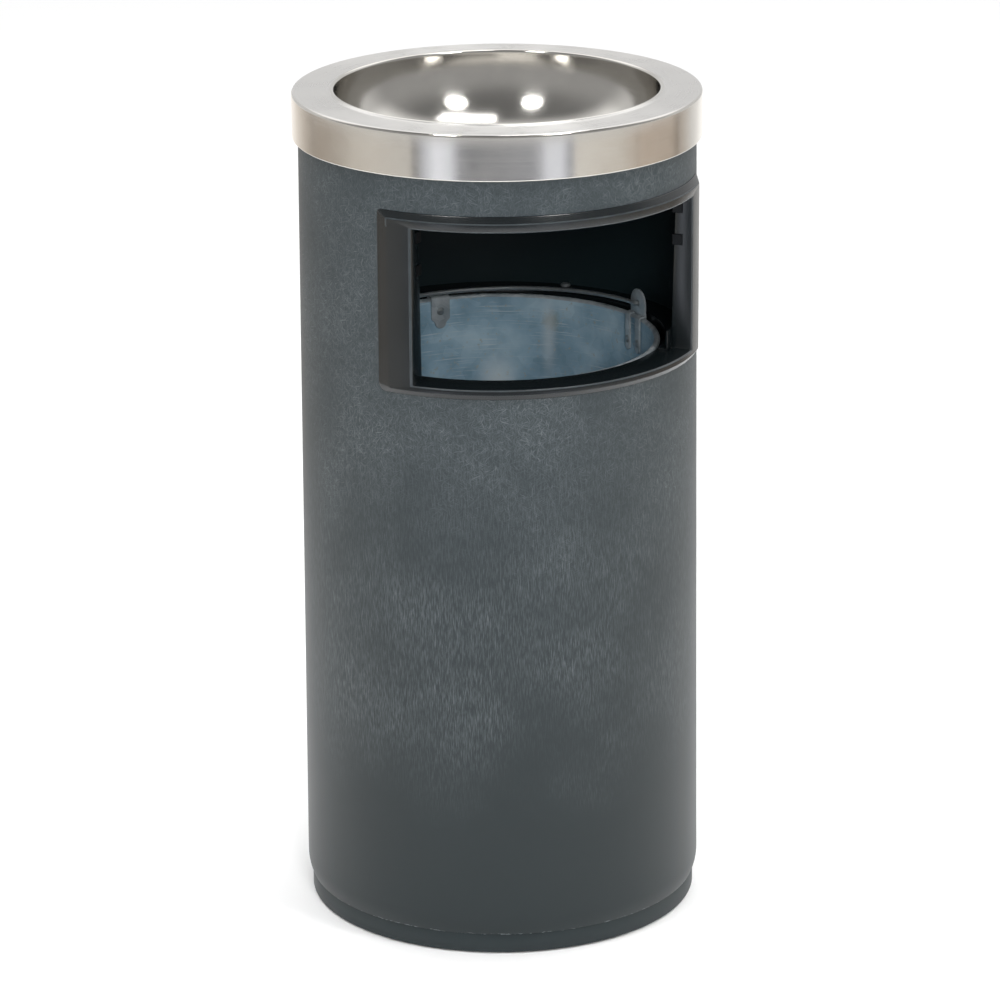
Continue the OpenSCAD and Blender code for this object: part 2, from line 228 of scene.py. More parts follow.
turned = add_node(
    glow, "ShaderNodeVectorRotate", {"Vector": spot, "Angle": -EYE_TURN}, rotation_type="Z_AXIS"
)
parts = add_node(glow, "ShaderNodeSeparateXYZ", {"Vector": turned})
towards = add_node(glow, "ShaderNodeMath", {0: parts.outputs["Y"], 1: -1.0}, operation="MULTIPLY")
bearing = add_node(glow, "ShaderNodeMath", {0: parts.outputs["X"], 1: towards}, operation="ARCTAN2")
share = add_node(glow, "ShaderNodeMapRange", {"Value": bearing, "From Min": -math.pi, "From Max": math.pi})
SCREEN_PEAK = max(tone for turn, tone in SCREEN_TONES)
tones = add_node(glow, "ShaderNodeValToRGB", {"Fac": share})
set_stops(tones, [((turn + 180) / 360, tone / SCREEN_PEAK) for turn, tone in SCREEN_TONES])
tints = add_node(glow, "ShaderNodeValToRGB", {"Fac": share})
set_stops(tints, [((turn + 180) / 360, linear(tint)) for turn, tint in SCREEN_TINTS])
both = {"Factor": 1.0, 6: tones, 7: tints}
tinted = add_node(glow, "ShaderNodeMix", both, data_type="RGBA", blend_type="MULTIPLY")
shine = add_node(glow, "ShaderNodeEmission", {"Color": tinted, "Strength": SCREEN_PEAK})
add_node(glow, "ShaderNodeOutputMaterial", {"Surface": shine})
screen_mesh.materials.append(screen_glow)


# ---- Base -------------------------------------------------------------------
# Inset base of the same moulded plastic as the body: a visible ring, a floor web with a spigot
# that plugs into the body, a ring that centres the bucket, and ribs and screw bosses underneath.
def start_material(name, settings):
    """A new material: its tree, its shader with the settings, and the place on the piece."""
    made = bpy.data.materials.new(name)
    made.use_nodes = True
    tree = made.node_tree
    shader = tree.nodes["Principled BSDF"]
    feed(shader, settings)
    return made, tree, shader, add_node(tree, "ShaderNodeTexCoord").outputs["Object"]


def cloudy_tint(tree, shader, spot, size, detail, dark, light):
    """Colours a finish in clouds of a size in millimetres, between two tones, and returns the clouds."""
    pattern = {"Vector": spot, "Scale": 1 / (size * mm), "Detail": detail}
    clouds = add_node(tree, "ShaderNodeTexNoise", pattern)
    tones = {"Factor": clouds, 6: linear(dark), 7: linear(light)}
    feed(shader, {"Base Color": add_node(tree, "ShaderNodeMix", tones, data_type="RGBA")})
    return clouds


def raise_grain(tree, shader, height, strength, depth):
    """Gives a finish a relief of a depth in millimetres."""
    relief = {"Height": height, "Strength": strength, "Distance": depth * mm}
    feed(shader, {"Normal": add_node(tree, "ShaderNodeBump", relief)})


def plain_mesh(holder):
    """The mesh that an object comes to with its modifiers or bevels; the object is removed."""
    made = bpy.data.meshes.new_from_object(holder.evaluated_get(bpy.context.evaluated_depsgraph_get()))
    bpy.data.objects.remove(holder)
    return made


def grow(name, tree, source, values):
    """Runs a geometry tree on a mesh and returns the plain mesh that it makes."""
    holder = link_mesh(name + "_source", source)
    modifier = holder.modifiers.new("grow", "NODES")
    modifier.node_group = tree
    for socket in tree.interface.items_tree:
        if socket.name in values:
            modifier[socket.identifier] = values[socket.name]
    made = plain_mesh(holder)
    made.name = name
    return made


def tidy_faces(mesh, crease=38):
    """Merges doubles, turns every face outwards and keeps edges sharper than the crease angle, in degrees."""
    work = bmesh.new()
    work.from_mesh(mesh)
    bmesh.ops.remove_doubles(work, verts=work.verts, dist=2e-6)
    bmesh.ops.recalc_face_normals(work, faces=work.faces)
    work.to_mesh(mesh)
    work.free()
    mesh.shade_smooth()
    mesh.set_sharp_from_angle(angle=math.radians(crease))
    return mesh


def drawn_noise(tree, spot, size, detail, low, high, shift=(0, 0, 0), turned=(0, 0, 0)):
    """Noise drawn out to a size along each axis and picked out between two of its levels."""
    place = {"Vector": spot, "Location": shift, "Rotation": turned, "Scale": size}
    laid = add_node(tree, "ShaderNodeMapping", place, vector_type="TEXTURE")
    noise = add_node(tree, "ShaderNodeTexNoise", {"Vector": laid, "Scale": 1.0, "Detail": detail})
    return add_node(tree, "ShaderNodeMapRange", {"Value": noise, "From Min": low, "From Max": high})


def shape_mesh(name, work, finishes, crease=38):
    """The mesh of what was drawn in work, with its finishes."""
    made = bpy.data.meshes.new(name)
    work.to_mesh(made)
    work.free()
    for finish in finishes:
        made.materials.append(finish)
    return tidy_faces(made, crease)


def start_tree(name, inputs):
    """A geometry tree that gives a mesh; inputs names each input and its kind of socket."""
    tree = bpy.data.node_groups.new(name, "GeometryNodeTree")
    for title, kind in inputs.items():
        tree.interface.new_socket(title, in_out="INPUT", socket_type="NodeSocket" + kind)
    tree.interface.new_socket("Mesh", in_out="OUTPUT", socket_type="NodeSocketGeometry")
    return tree, add_node(tree, "NodeGroupInput").outputs


def end_tree(tree, shape, finish):
    """Ends a geometry tree: the shape made real, in its finish."""
    real = add_node(tree, "GeometryNodeRealizeInstances", {"Geometry": shape})
    coated = add_node(tree, "GeometryNodeSetMaterial", {"Geometry": real, "Material": finish})
    add_node(tree, "NodeGroupOutput", {"Mesh": coated})


# Tree: spins a section, drawn in the XZ plane, round the Z axis
spin_tree, given = start_tree("spin_section", {"Section": "Geometry", "Steps": "Int", "Finish": "Material"})
count = add_node(spin_tree, "GeometryNodeAttributeDomainSize", {"Geometry": given["Section"]})
rows = add_node(spin_tree, "ShaderNodeMath", {0: given["Steps"], 1: 1.0}, operation="ADD")
sheet = add_node(spin_tree, "GeometryNodeMeshGrid", {"Vertices X": rows, "Vertices Y": count})
number = add_node(spin_tree, "GeometryNodeInputIndex")
place = add_node(spin_tree, "ShaderNodeMath", {0: number, 1: count}, operation="MODULO")
part_row = add_node(spin_tree, "ShaderNodeMath", {0: number, 1: count}, operation="DIVIDE")
row = add_node(spin_tree, "ShaderNodeMath", {0: part_row}, operation="FLOOR")
turns = add_node(spin_tree, "ShaderNodeMath", {0: row, 1: given["Steps"]}, operation="DIVIDE")
angle = add_node(spin_tree, "ShaderNodeMath", {0: turns, 1: 2 * math.pi}, operation="MULTIPLY")
where = add_node(spin_tree, "GeometryNodeInputPosition")
on_section = add_node(
    spin_tree,
    "GeometryNodeSampleIndex",
    {"Geometry": given["Section"], "Value": where, "Index": place},
    data_type="FLOAT_VECTOR",
)
spun_to = add_node(
    spin_tree, "ShaderNodeVectorRotate", {"Vector": on_section, "Angle": angle}, rotation_type="Z_AXIS"
)
placed = add_node(spin_tree, "GeometryNodeSetPosition", {"Geometry": sheet, "Position": spun_to})
closed = add_node(spin_tree, "GeometryNodeMergeByDistance", {"Geometry": placed, "Distance": 2e-6})
end_tree(spin_tree, closed, given["Finish"])

# Tree: sets a copy of an item at each point, turned so that its X axis points away from the Z axis, with a
# random twist of its own
copies_tree, given = start_tree(
    "copies_round_axis",
    {"Points": "Geometry", "Item": "Object", "Twist": "Float", "Seed": "Int", "Finish": "Material"},
)
item = add_node(copies_tree, "GeometryNodeObjectInfo", {"Object": given["Item"]})
where = add_node(copies_tree, "GeometryNodeInputPosition")
axes = add_node(copies_tree, "ShaderNodeSeparateXYZ", {"Vector": where}).outputs
bearing = add_node(copies_tree, "ShaderNodeMath", {0: axes["Y"], 1: axes["X"]}, operation="ARCTAN2")
turn = add_node(copies_tree, "ShaderNodeCombineXYZ", {"Z": bearing})
slack = add_node(copies_tree, "ShaderNodeMath", {0: given["Twist"], 1: -1.0}, operation="MULTIPLY")
chance = add_node(
    copies_tree,
    "FunctionNodeRandomValue",
    {2: slack, 3: given["Twist"], "Seed": given["Seed"]},
    data_type="FLOAT",
)
own_turn = add_node(copies_tree, "ShaderNodeCombineXYZ", {"Z": chance})
copies = add_node(
    copies_tree,
    "GeometryNodeInstanceOnPoints",
    {"Points": given["Points"], "Instance": item.outputs["Geometry"], "Rotation": turn},
)
loosened = add_node(copies_tree, "GeometryNodeRotateInstances", {"Instances": copies, "Rotation": own_turn})
end_tree(copies_tree, loosened, given["Finish"])


def spin(name, section, steps, finish, crease=38):
    """A solid of revolution from (radius, height) points in millimetres; the section closes on itself."""
    source = bpy.data.meshes.new(name)
    source.from_pydata([(r * mm, 0, z * mm) for r, z in section + section[:1]], [], [])
    return tidy_faces(grow(name, spin_tree, source, {"Steps": steps, "Finish": finish}), crease)


def spread(name, item_mesh, places, finish, twist=0.0, seed=1, crease=38):
    """Copies of an item, modelled at the origin with X outwards, at places given in millimetres."""
    source = bpy.data.meshes.new(name)
    source.from_pydata([Vector(p) * mm for p in places], [], [])
    item = link_mesh(name + "_item", item_mesh)
    values = {"Item": item, "Twist": twist, "Seed": seed, "Finish": finish}
    made = grow(name, copies_tree, source, values)
    bpy.data.objects.remove(item)
    return tidy_faces(made, crease)


def join(name, meshes):
    """One mesh from several; the first one's material comes first."""
    work = bmesh.new()
    finishes = []
    for mesh in meshes:
        start = len(work.faces)
        own = list(mesh.materials)
        finishes += [m for m in own if m not in finishes]
        work.from_mesh(mesh)
        work.faces.ensure_lookup_table()
        for face in work.faces[start:]:
            face.material_index = finishes.index(own[face.material_index]) if own else 0
    made = bpy.data.meshes.new(name)
    work.to_mesh(made)
    work.free()
    for finish in finishes:
        made.materials.append(finish)
    return made


def arc(centre_r, centre_z, radius, start, end, steps):
    """Points of an arc in section, angles in degrees from the outward direction towards +Z."""
    angles = [math.radians(start + (end - start) * i / steps) for i in range(steps + 1)]
    return [(centre_r + radius * math.cos(a), centre_z + radius * math.sin(a)) for a in angles]


def at_angle(degrees, radius, z=0.0):
    """A point at an angle from the aperture's centre line, which is -Y, towards +X."""
    a = math.radians(degrees)
    return (radius * math.sin(a), -radius * math.cos(a), z)


def refinish(mesh, finishes):
    """The mesh with these finishes in its slots and no others."""
    mesh.materials.clear()
    for finish in finishes:
        mesh.materials.append(finish)
    return mesh


def plate(name, outline, holes, thickness, edge, finish):
    """A flat plate with rounded edges in the XY plane, centred on z = 0, from outlines in millimetres."""
    curve = bpy.data.curves.new(name, "CURVE")
    curve.dimensions = "2D"
    curve.fill_mode = "BOTH"
    curve.extrude = (thickness / 2 - edge) * mm
    curve.bevel_depth = edge * mm
    curve.offset = -edge * mm
    curve.bevel_resolution = 1
    for loop in [outline] + holes:
        spline = curve.splines.new("POLY")
        spline.points.add(len(loop) - 1)
        for point, (x, y) in zip(spline.points, loop):
            point.co = (x * mm, y * mm, 0, 1)
        spline.use_cyclic_u = True
    holder = bpy.data.objects.new(name, curve)
    scene.collection.objects.link(holder)
    return tidy_faces(refinish(plain_mesh(holder), [finish]))


def box_outline(width, height, corner, steps=4):
    """A rectangle with rounded corners, centred on the origin, as a plate's outline."""
    points = []
    for i, (sx, sy) in enumerate([(1, 1), (-1, 1), (-1, -1), (1, -1)]):
        centre = (sx * (width / 2 - corner), sy * (height / 2 - corner))
        for k in range(steps + 1):
            a = math.radians(90 * (i + k / steps))
            points.append((centre[0] + corner * math.cos(a), centre[1] + corner * math.sin(a)))
    return points


def moved(mesh, matrix):
    """The mesh, moved in place."""
    mesh.transform(matrix)
    if matrix.determinant() < 0:
        mesh.flip_normals()
    return mesh


base_low, base_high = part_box("base_plate")
base_r = base_high.x / mm
seam_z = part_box("body_shell")[0].z / mm
BASE_WALL = 3.0
BASE_RING_Z = base_low.z / mm
SPIGOT_R = 142.0
SPIGOT_TOP = base_high.z / mm
FLOOR_UNDER = seam_z - BASE_WALL
LOCATE_R = 106.6
HUB_R = 61.0

# Injection-moulded polypropylene, dark slate grey, with a fine satin grain about 0.6 mm across
base_finish, tree, shader, spot = start_material(
    "polypropylene_satin_moulded", {"IOR": 1.49, "Roughness": 0.5}
)
cloudy_tint(tree, shader, spot, 60, 2.0, "#141f22", "#1c282b")
grain = add_node(tree, "ShaderNodeTexNoise", {"Vector": spot, "Scale": 1 / (0.6 * mm), "Detail": 3.0})
raise_grain(tree, shader, grain, 0.15, 0.05)

tray_section = [
    (0, FLOOR_UNDER), (base_r - BASE_WALL - 0.6, FLOOR_UNDER), (base_r - BASE_WALL, FLOOR_UNDER - 0.6),
    (base_r - BASE_WALL, BASE_RING_Z + 0.5), (base_r - BASE_WALL + 0.5, BASE_RING_Z),
    (base_r - 0.9, BASE_RING_Z), (base_r - 0.3, BASE_RING_Z + 0.3), (base_r, BASE_RING_Z + 0.9),
    (base_r, seam_z - 0.7), (base_r - 0.3, seam_z - 0.2), (base_r - 0.9, seam_z),
    (SPIGOT_R, seam_z), (SPIGOT_R, SPIGOT_TOP - 1.2), (SPIGOT_R - 0.8, SPIGOT_TOP),
    (SPIGOT_R - 2.5, SPIGOT_TOP),
    (SPIGOT_R - 3, SPIGOT_TOP - 0.5), (SPIGOT_R - 3, seam_z + 0.8), (SPIGOT_R - 3.8, seam_z),
    (LOCATE_R + 0.8, seam_z), (LOCATE_R, seam_z + 0.8), (LOCATE_R, seam_z + 5),
    (LOCATE_R - 0.6, seam_z + 5.5),
    (LOCATE_R - 1.4, seam_z + 5.5), (LOCATE_R - 2, seam_z + 4.6), (LOCATE_R - 2, seam_z + 0.5),
    (LOCATE_R - 2.6, seam_z),
    (0, seam_z),
]
tray = spin("tray", tray_section, 180, base_finish)
hub_section = [
    (HUB_R - 3, FLOOR_UNDER + 1), (HUB_R - 3, BASE_RING_Z + 3.4), (HUB_R - 2.6, BASE_RING_Z + 3),
    (HUB_R - 0.4, BASE_RING_Z + 3), (HUB_R, BASE_RING_Z + 3.4), (HUB_R, FLOOR_UNDER + 1),
]
hub = spin("hub", hub_section, 120, base_finish)

BOSS_ANGLES = [45, 135, 225, 315]
BOSS_AT = 134.0
boss_section = [
    (2.2, FLOOR_UNDER - 0.2), (4.2, FLOOR_UNDER - 0.2), (4.2, FLOOR_UNDER - 4.4), (4.6, FLOOR_UNDER - 4),
    (6.6, FLOOR_UNDER - 4), (7, FLOOR_UNDER - 3.6), (7, SPIGOT_TOP - 1.1), (6.4, SPIGOT_TOP - 0.5),
    (2.2, SPIGOT_TOP - 0.5),
]
bosses = spread(
    "base_bosses",
    spin("boss", boss_section, 40, base_finish),
    [at_angle(a, BOSS_AT) for a in BOSS_ANGLES],
    base_finish,
)
PAD_AT = 126.0
PAD_ANGLES = [22.5 + 90 * i for i in range(4)]
seat_section = [(0, 2.5), (10.1, 2.5), (10.5, 2.9), (10.5, FLOOR_UNDER + 1), (0, FLOOR_UNDER + 1)]
pad_seats = spread(
    "pad_seats",
    spin("pad_seat", seat_section, 40, base_finish),
    [at_angle(a, PAD_AT) for a in PAD_ANGLES],
    base_finish,
)
# Four ribs tie the hub to the base's ring
rib = plate("rib", box_outline(base_r - BASE_WALL - HUB_R + 2, 9.5, 0.6), [], 2.5, 0.3, base_finish)
moved(rib, Matrix.Rotation(math.pi / 2, 4, "X"))
RIB_MID = (HUB_R + base_r - BASE_WALL) / 2
RIB_Z = FLOOR_UNDER - 4
ribs = spread("ribs", rib, [at_angle(a, RIB_MID, RIB_Z) for a in (0, 90, 180, 270)], base_finish)
base = link_mesh("base_moulding", join("base_moulding", [tray, hub, bosses, pad_seats, ribs]))
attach(base, "bin_body")
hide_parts("base_plate")


# ---- Foot pads --------------------------------------------------------------
# Four black rubber discs pressed on their seats; the floor has scuffed their undersides.
PAD_R = 9.0
PAD_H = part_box("foot_pads")[1].z / mm

# Moulded natural rubber: near black, soft sheen, dusty
pad_finish, tree, shader, spot = start_material("rubber_moulded", {"IOR": 1.52, "Roughness": 0.75})
dust = cloudy_tint(tree, shader, spot, 1.5, 4.0, "#161617", "#2b2a29")
raise_grain(tree, shader, dust, 0.3, 0.1)

pad_section = [
    (0, 0.3), (4.5, 0.3), (5, 0), (PAD_R - 0.9, 0), (PAD_R - 0.25, 0.3), (PAD_R, 0.9), (PAD_R, PAD_H - 0.2),
    (PAD_R - 0.2, PAD_H), (0, PAD_H),
]
pad = spin("pad", pad_section, 40, pad_finish)
pads = spread("foot_pad_set", pad, [at_angle(a, PAD_AT) for a in PAD_ANGLES], pad_finish)
foot_pads = link_mesh("foot_pad_set", pads)
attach(foot_pads, "bin_body")
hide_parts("foot_pads")


# ---- Base screws ------------------------------------------------------------
# Zinc-plated pan-head self-tapping screws, driven up through the base into the body's bosses.
SCREW_R = 1.9
THREAD_PITCH = 1.4
HEAD_R = 3.8
HEAD_H = 2.2

# Zinc-plated steel: bluish silver, slightly uneven passivation
plated_finish, tree, shader, spot = start_material("steel_zinc_plated", {"Metallic": 0.8})
cast = cloudy_tint(tree, shader, spot, 2, 4.0, "#97a1a6", "#c6cbcc")
sheen = {"Value": cast, "From Min": 0.3, "From Max": 0.7, "To Min": 0.28, "To Max": 0.5}
feed(shader, {"Roughness": add_node(tree, "ShaderNodeMapRange", sheen)})


def screw_mesh(name, length):
    """A pan-head screw pointing up, its head's seat at z = 0, with a cross recess in the head."""
    section = [(0, -HEAD_H), (1.4, -HEAD_H)]
    section += arc(HEAD_R - 1.3, -HEAD_H + 1.3, 1.3, -90, 0, 4)
    section += [(HEAD_R, -0.2), (HEAD_R - 0.2, 0), (SCREW_R - 0.5, 0)]
    z = 0.8
    while z < length - 2 * THREAD_PITCH:
        section += [(SCREW_R - 0.5, z), (SCREW_R, z + 0.35), (SCREW_R, z + 0.45), (SCREW_R - 0.5, z + 0.8)]
        z += THREAD_PITCH
    section += [(SCREW_R - 0.5, z), (0.15, length), (0, length)]
    turned_screw = link_mesh(name, spin(name, section, 24, plated_finish))
    cutter_mesh = bpy.data.meshes.new("recess")
    cutter = bmesh.new()
    for span in ((3.6, 0.8), (0.8, 3.6)):
        block = bmesh.ops.create_cube(cutter, size=1.0)
        bmesh.ops.scale(cutter, vec=(span[0] * mm, span[1] * mm, 2.4 * mm), verts=block["verts"])
        bmesh.ops.translate(cutter, vec=(0, 0, -HEAD_H * mm), verts=block["verts"])
    cutter.to_mesh(cutter_mesh)
    cutter.free()
    recess = link_mesh("recess", cutter_mesh)
    cut = turned_screw.modifiers.new("cut", "BOOLEAN")
    cut.operation = "DIFFERENCE"
    cut.solver = "EXACT"
    cut.use_self = True
    cut.object = recess
    made = plain_mesh(turned_screw)
    bpy.data.objects.remove(recess)
    return made


BASE_SCREW_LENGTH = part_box("base_screws")[1].z / mm - FLOOR_UNDER
screws = spread(
    "base_screw_set",
    screw_mesh("base_screw", BASE_SCREW_LENGTH),
    [at_angle(a, BOSS_AT, FLOOR_UNDER) for a in BOSS_ANGLES],
    plated_finish,
    twist=0.8,
    seed=3,
)
base_screws = link_mesh("base_screw_set", screws)
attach(base_screws, "bin_body")
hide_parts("base_screws")


# ---- Body -------------------------------------------------------------------
# Tall moulded tube of dark slate-grey plastic, slightly narrower at the top, with the aperture cut
# through it and its lower edge rounded in above the base. Years of wiping have scuffed the upper half.
shell_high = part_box("body_shell")[1]
shell_top = shell_high.z / mm
frame_low, frame_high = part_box("aperture_frame")
BODY_R_LOW = 148.2
BODY_R_HIGH = 144.6
BODY_H = 620.0
BODY_WALL = 3.0
EDGE_H = 14.0
EDGE_IN = 3.0
CUT_HALF = 49.1
CUT_LOW = 431.0
CUT_HIGH = 550.8


def body_r(z):
    """Outer radius of the body at a height, without its rounded lower edge."""
    return BODY_R_LOW - (BODY_R_LOW - BODY_R_HIGH) * z / BODY_H


def skin_r(z):
    """Outer radius of the body with its rounded lower edge."""
    left = max(0.0, 1 - (z - seam_z) / EDGE_H)
    return body_r(z) - EDGE_IN * left**2.2


# Scuffed polypropylene: fine pale hair-like scuffs in every direction over the upper half, upright wiping
# streaks below them, and an untouched satin skin at the foot. A scuff is 0.5 mm wide and 7 mm long. Each set
# of scuffs is upright noise on a body twisted round its axis, so that all sides are alike.
body_finish, tree, shader, spot = start_material("polypropylene_scuffed", {"IOR": 1.49})
height = add_node(tree, "ShaderNodeSeparateXYZ", {"Vector": spot}).outputs["Z"]
bends = add_node(tree, "ShaderNodeTexNoise", {"Vector": spot, "Scale": 1 / (9 * mm), "Detail": 0.0})
SWAY = 4 / BODY_R_LOW
bent = add_node(tree, "ShaderNodeMapRange", {"Value": bends, "To Min": -SWAY, "To Max": SWAY})
SCUFF_WIDE = 0.5 * mm
SCUFF_LONG = 7 * mm
SCUFF_TILTS = [12, 38, 62, -24, -48, -72]
scuffs = 0.0
for tilt in SCUFF_TILTS:
    lean = math.radians(tilt)
    twists = {0: height, 1: math.tan(lean) / (BODY_R_LOW * mm), 2: bent}
    twist = add_node(tree, "ShaderNodeMath", twists, operation="MULTIPLY_ADD")
    spun = {"Vector": spot, "Angle": twist}
    twisted = add_node(tree, "ShaderNodeVectorRotate", spun, rotation_type="Z_AXIS")
    across = SCUFF_WIDE / math.cos(lean)
    size = (across, across, SCUFF_LONG * math.cos(lean))
    picked = drawn_noise(tree, twisted, size, 1.0, 0.6, 0.85, shift=(tilt * mm, 0, 0))
    scuffs = add_node(tree, "ShaderNodeMath", {0: scuffs, 1: picked}, operation="MAXIMUM")
streaks = drawn_noise(tree, spot, (SCUFF_WIDE, SCUFF_WIDE, SCUFF_LONG), 2.0, 0.45, 0.95)
patches = add_node(tree, "ShaderNodeTexNoise", {"Vector": spot, "Scale": 1 / (70 * mm), "Detail": 4.0})
ragged = add_node(tree, "ShaderNodeMath", {0: patches, 1: 110 * mm, 2: height}, operation="MULTIPLY_ADD")
# How much of each there is between two heights in millimetres; faded makes the plastic itself greyer towards
# the top
zones = {}
for name, low, high, at_low, at_high in (
    ("scuffs", 340, 470, 0.12, 1.0), ("streaks", 340, 470, 1.0, 0.35), ("any", 170, 265, 0.0, 1.0),
    ("faded", 150, 520, 0.0, 1.0),
):
    levels = {"Value": ragged, "From Min": low * mm, "From Max": high * mm}
    levels |= {"To Min": at_low, "To Max": at_high}
    zones[name] = add_node(tree, "ShaderNodeMapRange", levels)
scuff_part = add_node(tree, "ShaderNodeMath", {0: scuffs, 1: zones["scuffs"]}, operation="MULTIPLY")
streak_part = add_node(tree, "ShaderNodeMath", {0: streaks, 1: zones["streaks"]}, operation="MULTIPLY")
wear = add_node(tree, "ShaderNodeMath", {0: scuff_part, 1: streak_part}, operation="ADD")
wear_here = add_node(tree, "ShaderNodeMath", {0: wear, 1: zones["any"]}, operation="MULTIPLY")
levels = {"Value": patches, "From Min": 0.35, "From Max": 0.65, "To Min": 0.45, "To Max": 1.45}
cloudy = add_node(tree, "ShaderNodeMapRange", levels)
worn = add_node(tree, "ShaderNodeMath", {0: wear_here, 1: cloudy}, operation="MULTIPLY", use_clamp=True)
# Flash: pale crumbs of plastic left along the parting edge above the base, 4 mm apart
crumb_pick = drawn_noise(tree, spot, (4 * mm, 4 * mm, 1.2 * mm), 2.0, 0.55, 0.66)
edge = {"Value": height, "From Min": (seam_z + 0.5) * mm, "From Max": (seam_z + 1.3) * mm}
edge |= {"To Min": 1.0, "To Max": 0.0}
crumb_low = add_node(tree, "ShaderNodeMapRange", edge)
crumbs = add_node(tree, "ShaderNodeMath", {0: crumb_pick, 1: crumb_low}, operation="MULTIPLY")
tint = linear("#0f1c1f")
for amount, tone in ((zones["faded"], "#293236"), (worn, "#5b6265"), (crumbs, "#747b7e")):
    tint = add_node(tree, "ShaderNodeMix", {"Factor": amount, 6: tint, 7: linear(tone)}, data_type="RGBA")
dulled = add_node(tree, "ShaderNodeMapRange", {"Value": zones["faded"], "To Min": 0.42, "To Max": 0.56})
feed(shader, {"Base Color": tint, "Roughness": dulled})
raise_grain(tree, shader, worn, 0.15, 0.05)


def body_mesh():
    """The tube as two skins on one grid of angles and heights, without the cells of the cut-out."""
    across = 72
    round_back = 196
    angles = [-CUT_HALF + 2 * CUT_HALF * i / across for i in range(across)]
    angles += [CUT_HALF + (360 - 2 * CUT_HALF) * i / round_back for i in range(round_back)]
    rises = [seam_z + EDGE_H * (i / 8) ** 1.6 for i in range(9)]
    rises += [60 + 371 * i / 14 for i in range(15)]
    rises += [CUT_LOW + (CUT_HIGH - CUT_LOW) * i / 4 for i in range(1, 5)]
    rises += [575, 600, shell_top - 0.6, shell_top]
    work = bmesh.new()
    grid = []
    for degrees in angles:
        column = []
        for z in rises:
            ease = 0.5 if z == shell_top else 0.0
            outer = work.verts.new(Vector(at_angle(degrees, skin_r(z) - ease, z)) * mm)
            inner = work.verts.new(Vector(at_angle(degrees, skin_r(z) - BODY_WALL + ease, z)) * mm)
            column.append((outer, inner))
        grid.append(column)

    def solid(i, k):
        if k < 0 or k >= len(rises) - 1:
            return False
        cut_here = (i % len(angles)) < across and CUT_LOW - 0.1 < rises[k] and rises[k + 1] < CUT_HIGH + 0.1
        return not cut_here

    for i in range(len(angles)):
        a = grid[i]
        b = grid[(i + 1) % len(angles)]
        for k in range(len(rises) - 1):
            if not solid(i, k):
                continue
            work.faces.new((a[k][0], b[k][0], b[k + 1][0], a[k + 1][0]))
            inside = work.faces.new((a[k][1], a[k + 1][1], b[k + 1][1], b[k][1]))
            inside.material_index = 1
            if not solid(i, k - 1):
                work.faces.new((a[k][0], a[k][1], b[k][1], b[k][0]))
            if not solid(i, k + 1):
                work.faces.new((a[k + 1][0], b[k + 1][0], b[k + 1][1], a[k + 1][1]))
            if not solid(i - 1, k):
                work.faces.new((a[k][0], a[k + 1][0], a[k + 1][1], a[k][1]))
            if not solid(i + 1, k):
                work.faces.new((b[k][0], b[k][1], b[k + 1][1], b[k + 1][0]))
    return shape_mesh("body_tube", work, [body_finish, base_finish])


# Screw bosses inside: four low ones on ribs for the base, four under the collar
LOW_BOSS = (SPIGOT_TOP + 0.1, 46.0)
sill_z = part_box("bucket_collar")[1].z / mm
COLLAR_T = 3.0
HIGH_BOSS = (sill_z - COLLAR_T - 18, sill_z - COLLAR_T)
COLLAR_SCREW_AT = 137.5
COLLAR_ANGLES = [75, 135, 225, 285]


def boss_mesh(bottom, top):
    """A tubular screw boss with a rounded rim."""
    section = [(1.95, bottom), (5.6, bottom), (6, bottom + 0.4), (6, top - 0.4), (5.6, top), (1.95, top)]
    return spin("boss", section, 36, base_finish)


low_bosses = spread(
    "low_bosses", boss_mesh(*LOW_BOSS), [at_angle(a, BOSS_AT) for a in BOSS_ANGLES], base_finish
)
web = plate("web", box_outline(12.8, LOW_BOSS[1] - LOW_BOSS[0], 0.5), [], 3.0, 0.3, base_finish)
moved(web, Matrix.Rotation(math.pi / 2, 4, "X"))
web_z = (LOW_BOSS[0] + LOW_BOSS[1]) / 2
webs = spread("webs", web, [at_angle(a, BOSS_AT + 6.4, web_z) for a in BOSS_ANGLES], base_finish)
high_bosses = spread(
    "high_bosses", boss_mesh(*HIGH_BOSS), [at_angle(a, COLLAR_SCREW_AT) for a in COLLAR_ANGLES], base_finish
)
body = link_mesh("body_tube", join("body_tube", [body_mesh(), low_bosses, webs, high_bosses]))
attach(body, "bin_body")
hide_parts("body_shell")


# ---- Aperture frame ---------------------------------------------------------
# Glossy black surround, clipped into the cut-out: a sloping outer facet up to a crest, a flat inner facet
# to a rounded lip, and a return that lines the opening and runs back to the collar.
OPEN_HALF = 47.5
head_z = 547.8
CREST_HALF = 55.0
CREST_LOW = sill_z - 4.2
CREST_HIGH = head_z + 6.3
OUTER_HALF = 59.0
outer_low = frame_low.z / mm
outer_high = frame_high.z / mm
face_r = -frame_low.y / mm
RETURN_R = (132.6, 135.8)
RETURN_T = 2.6

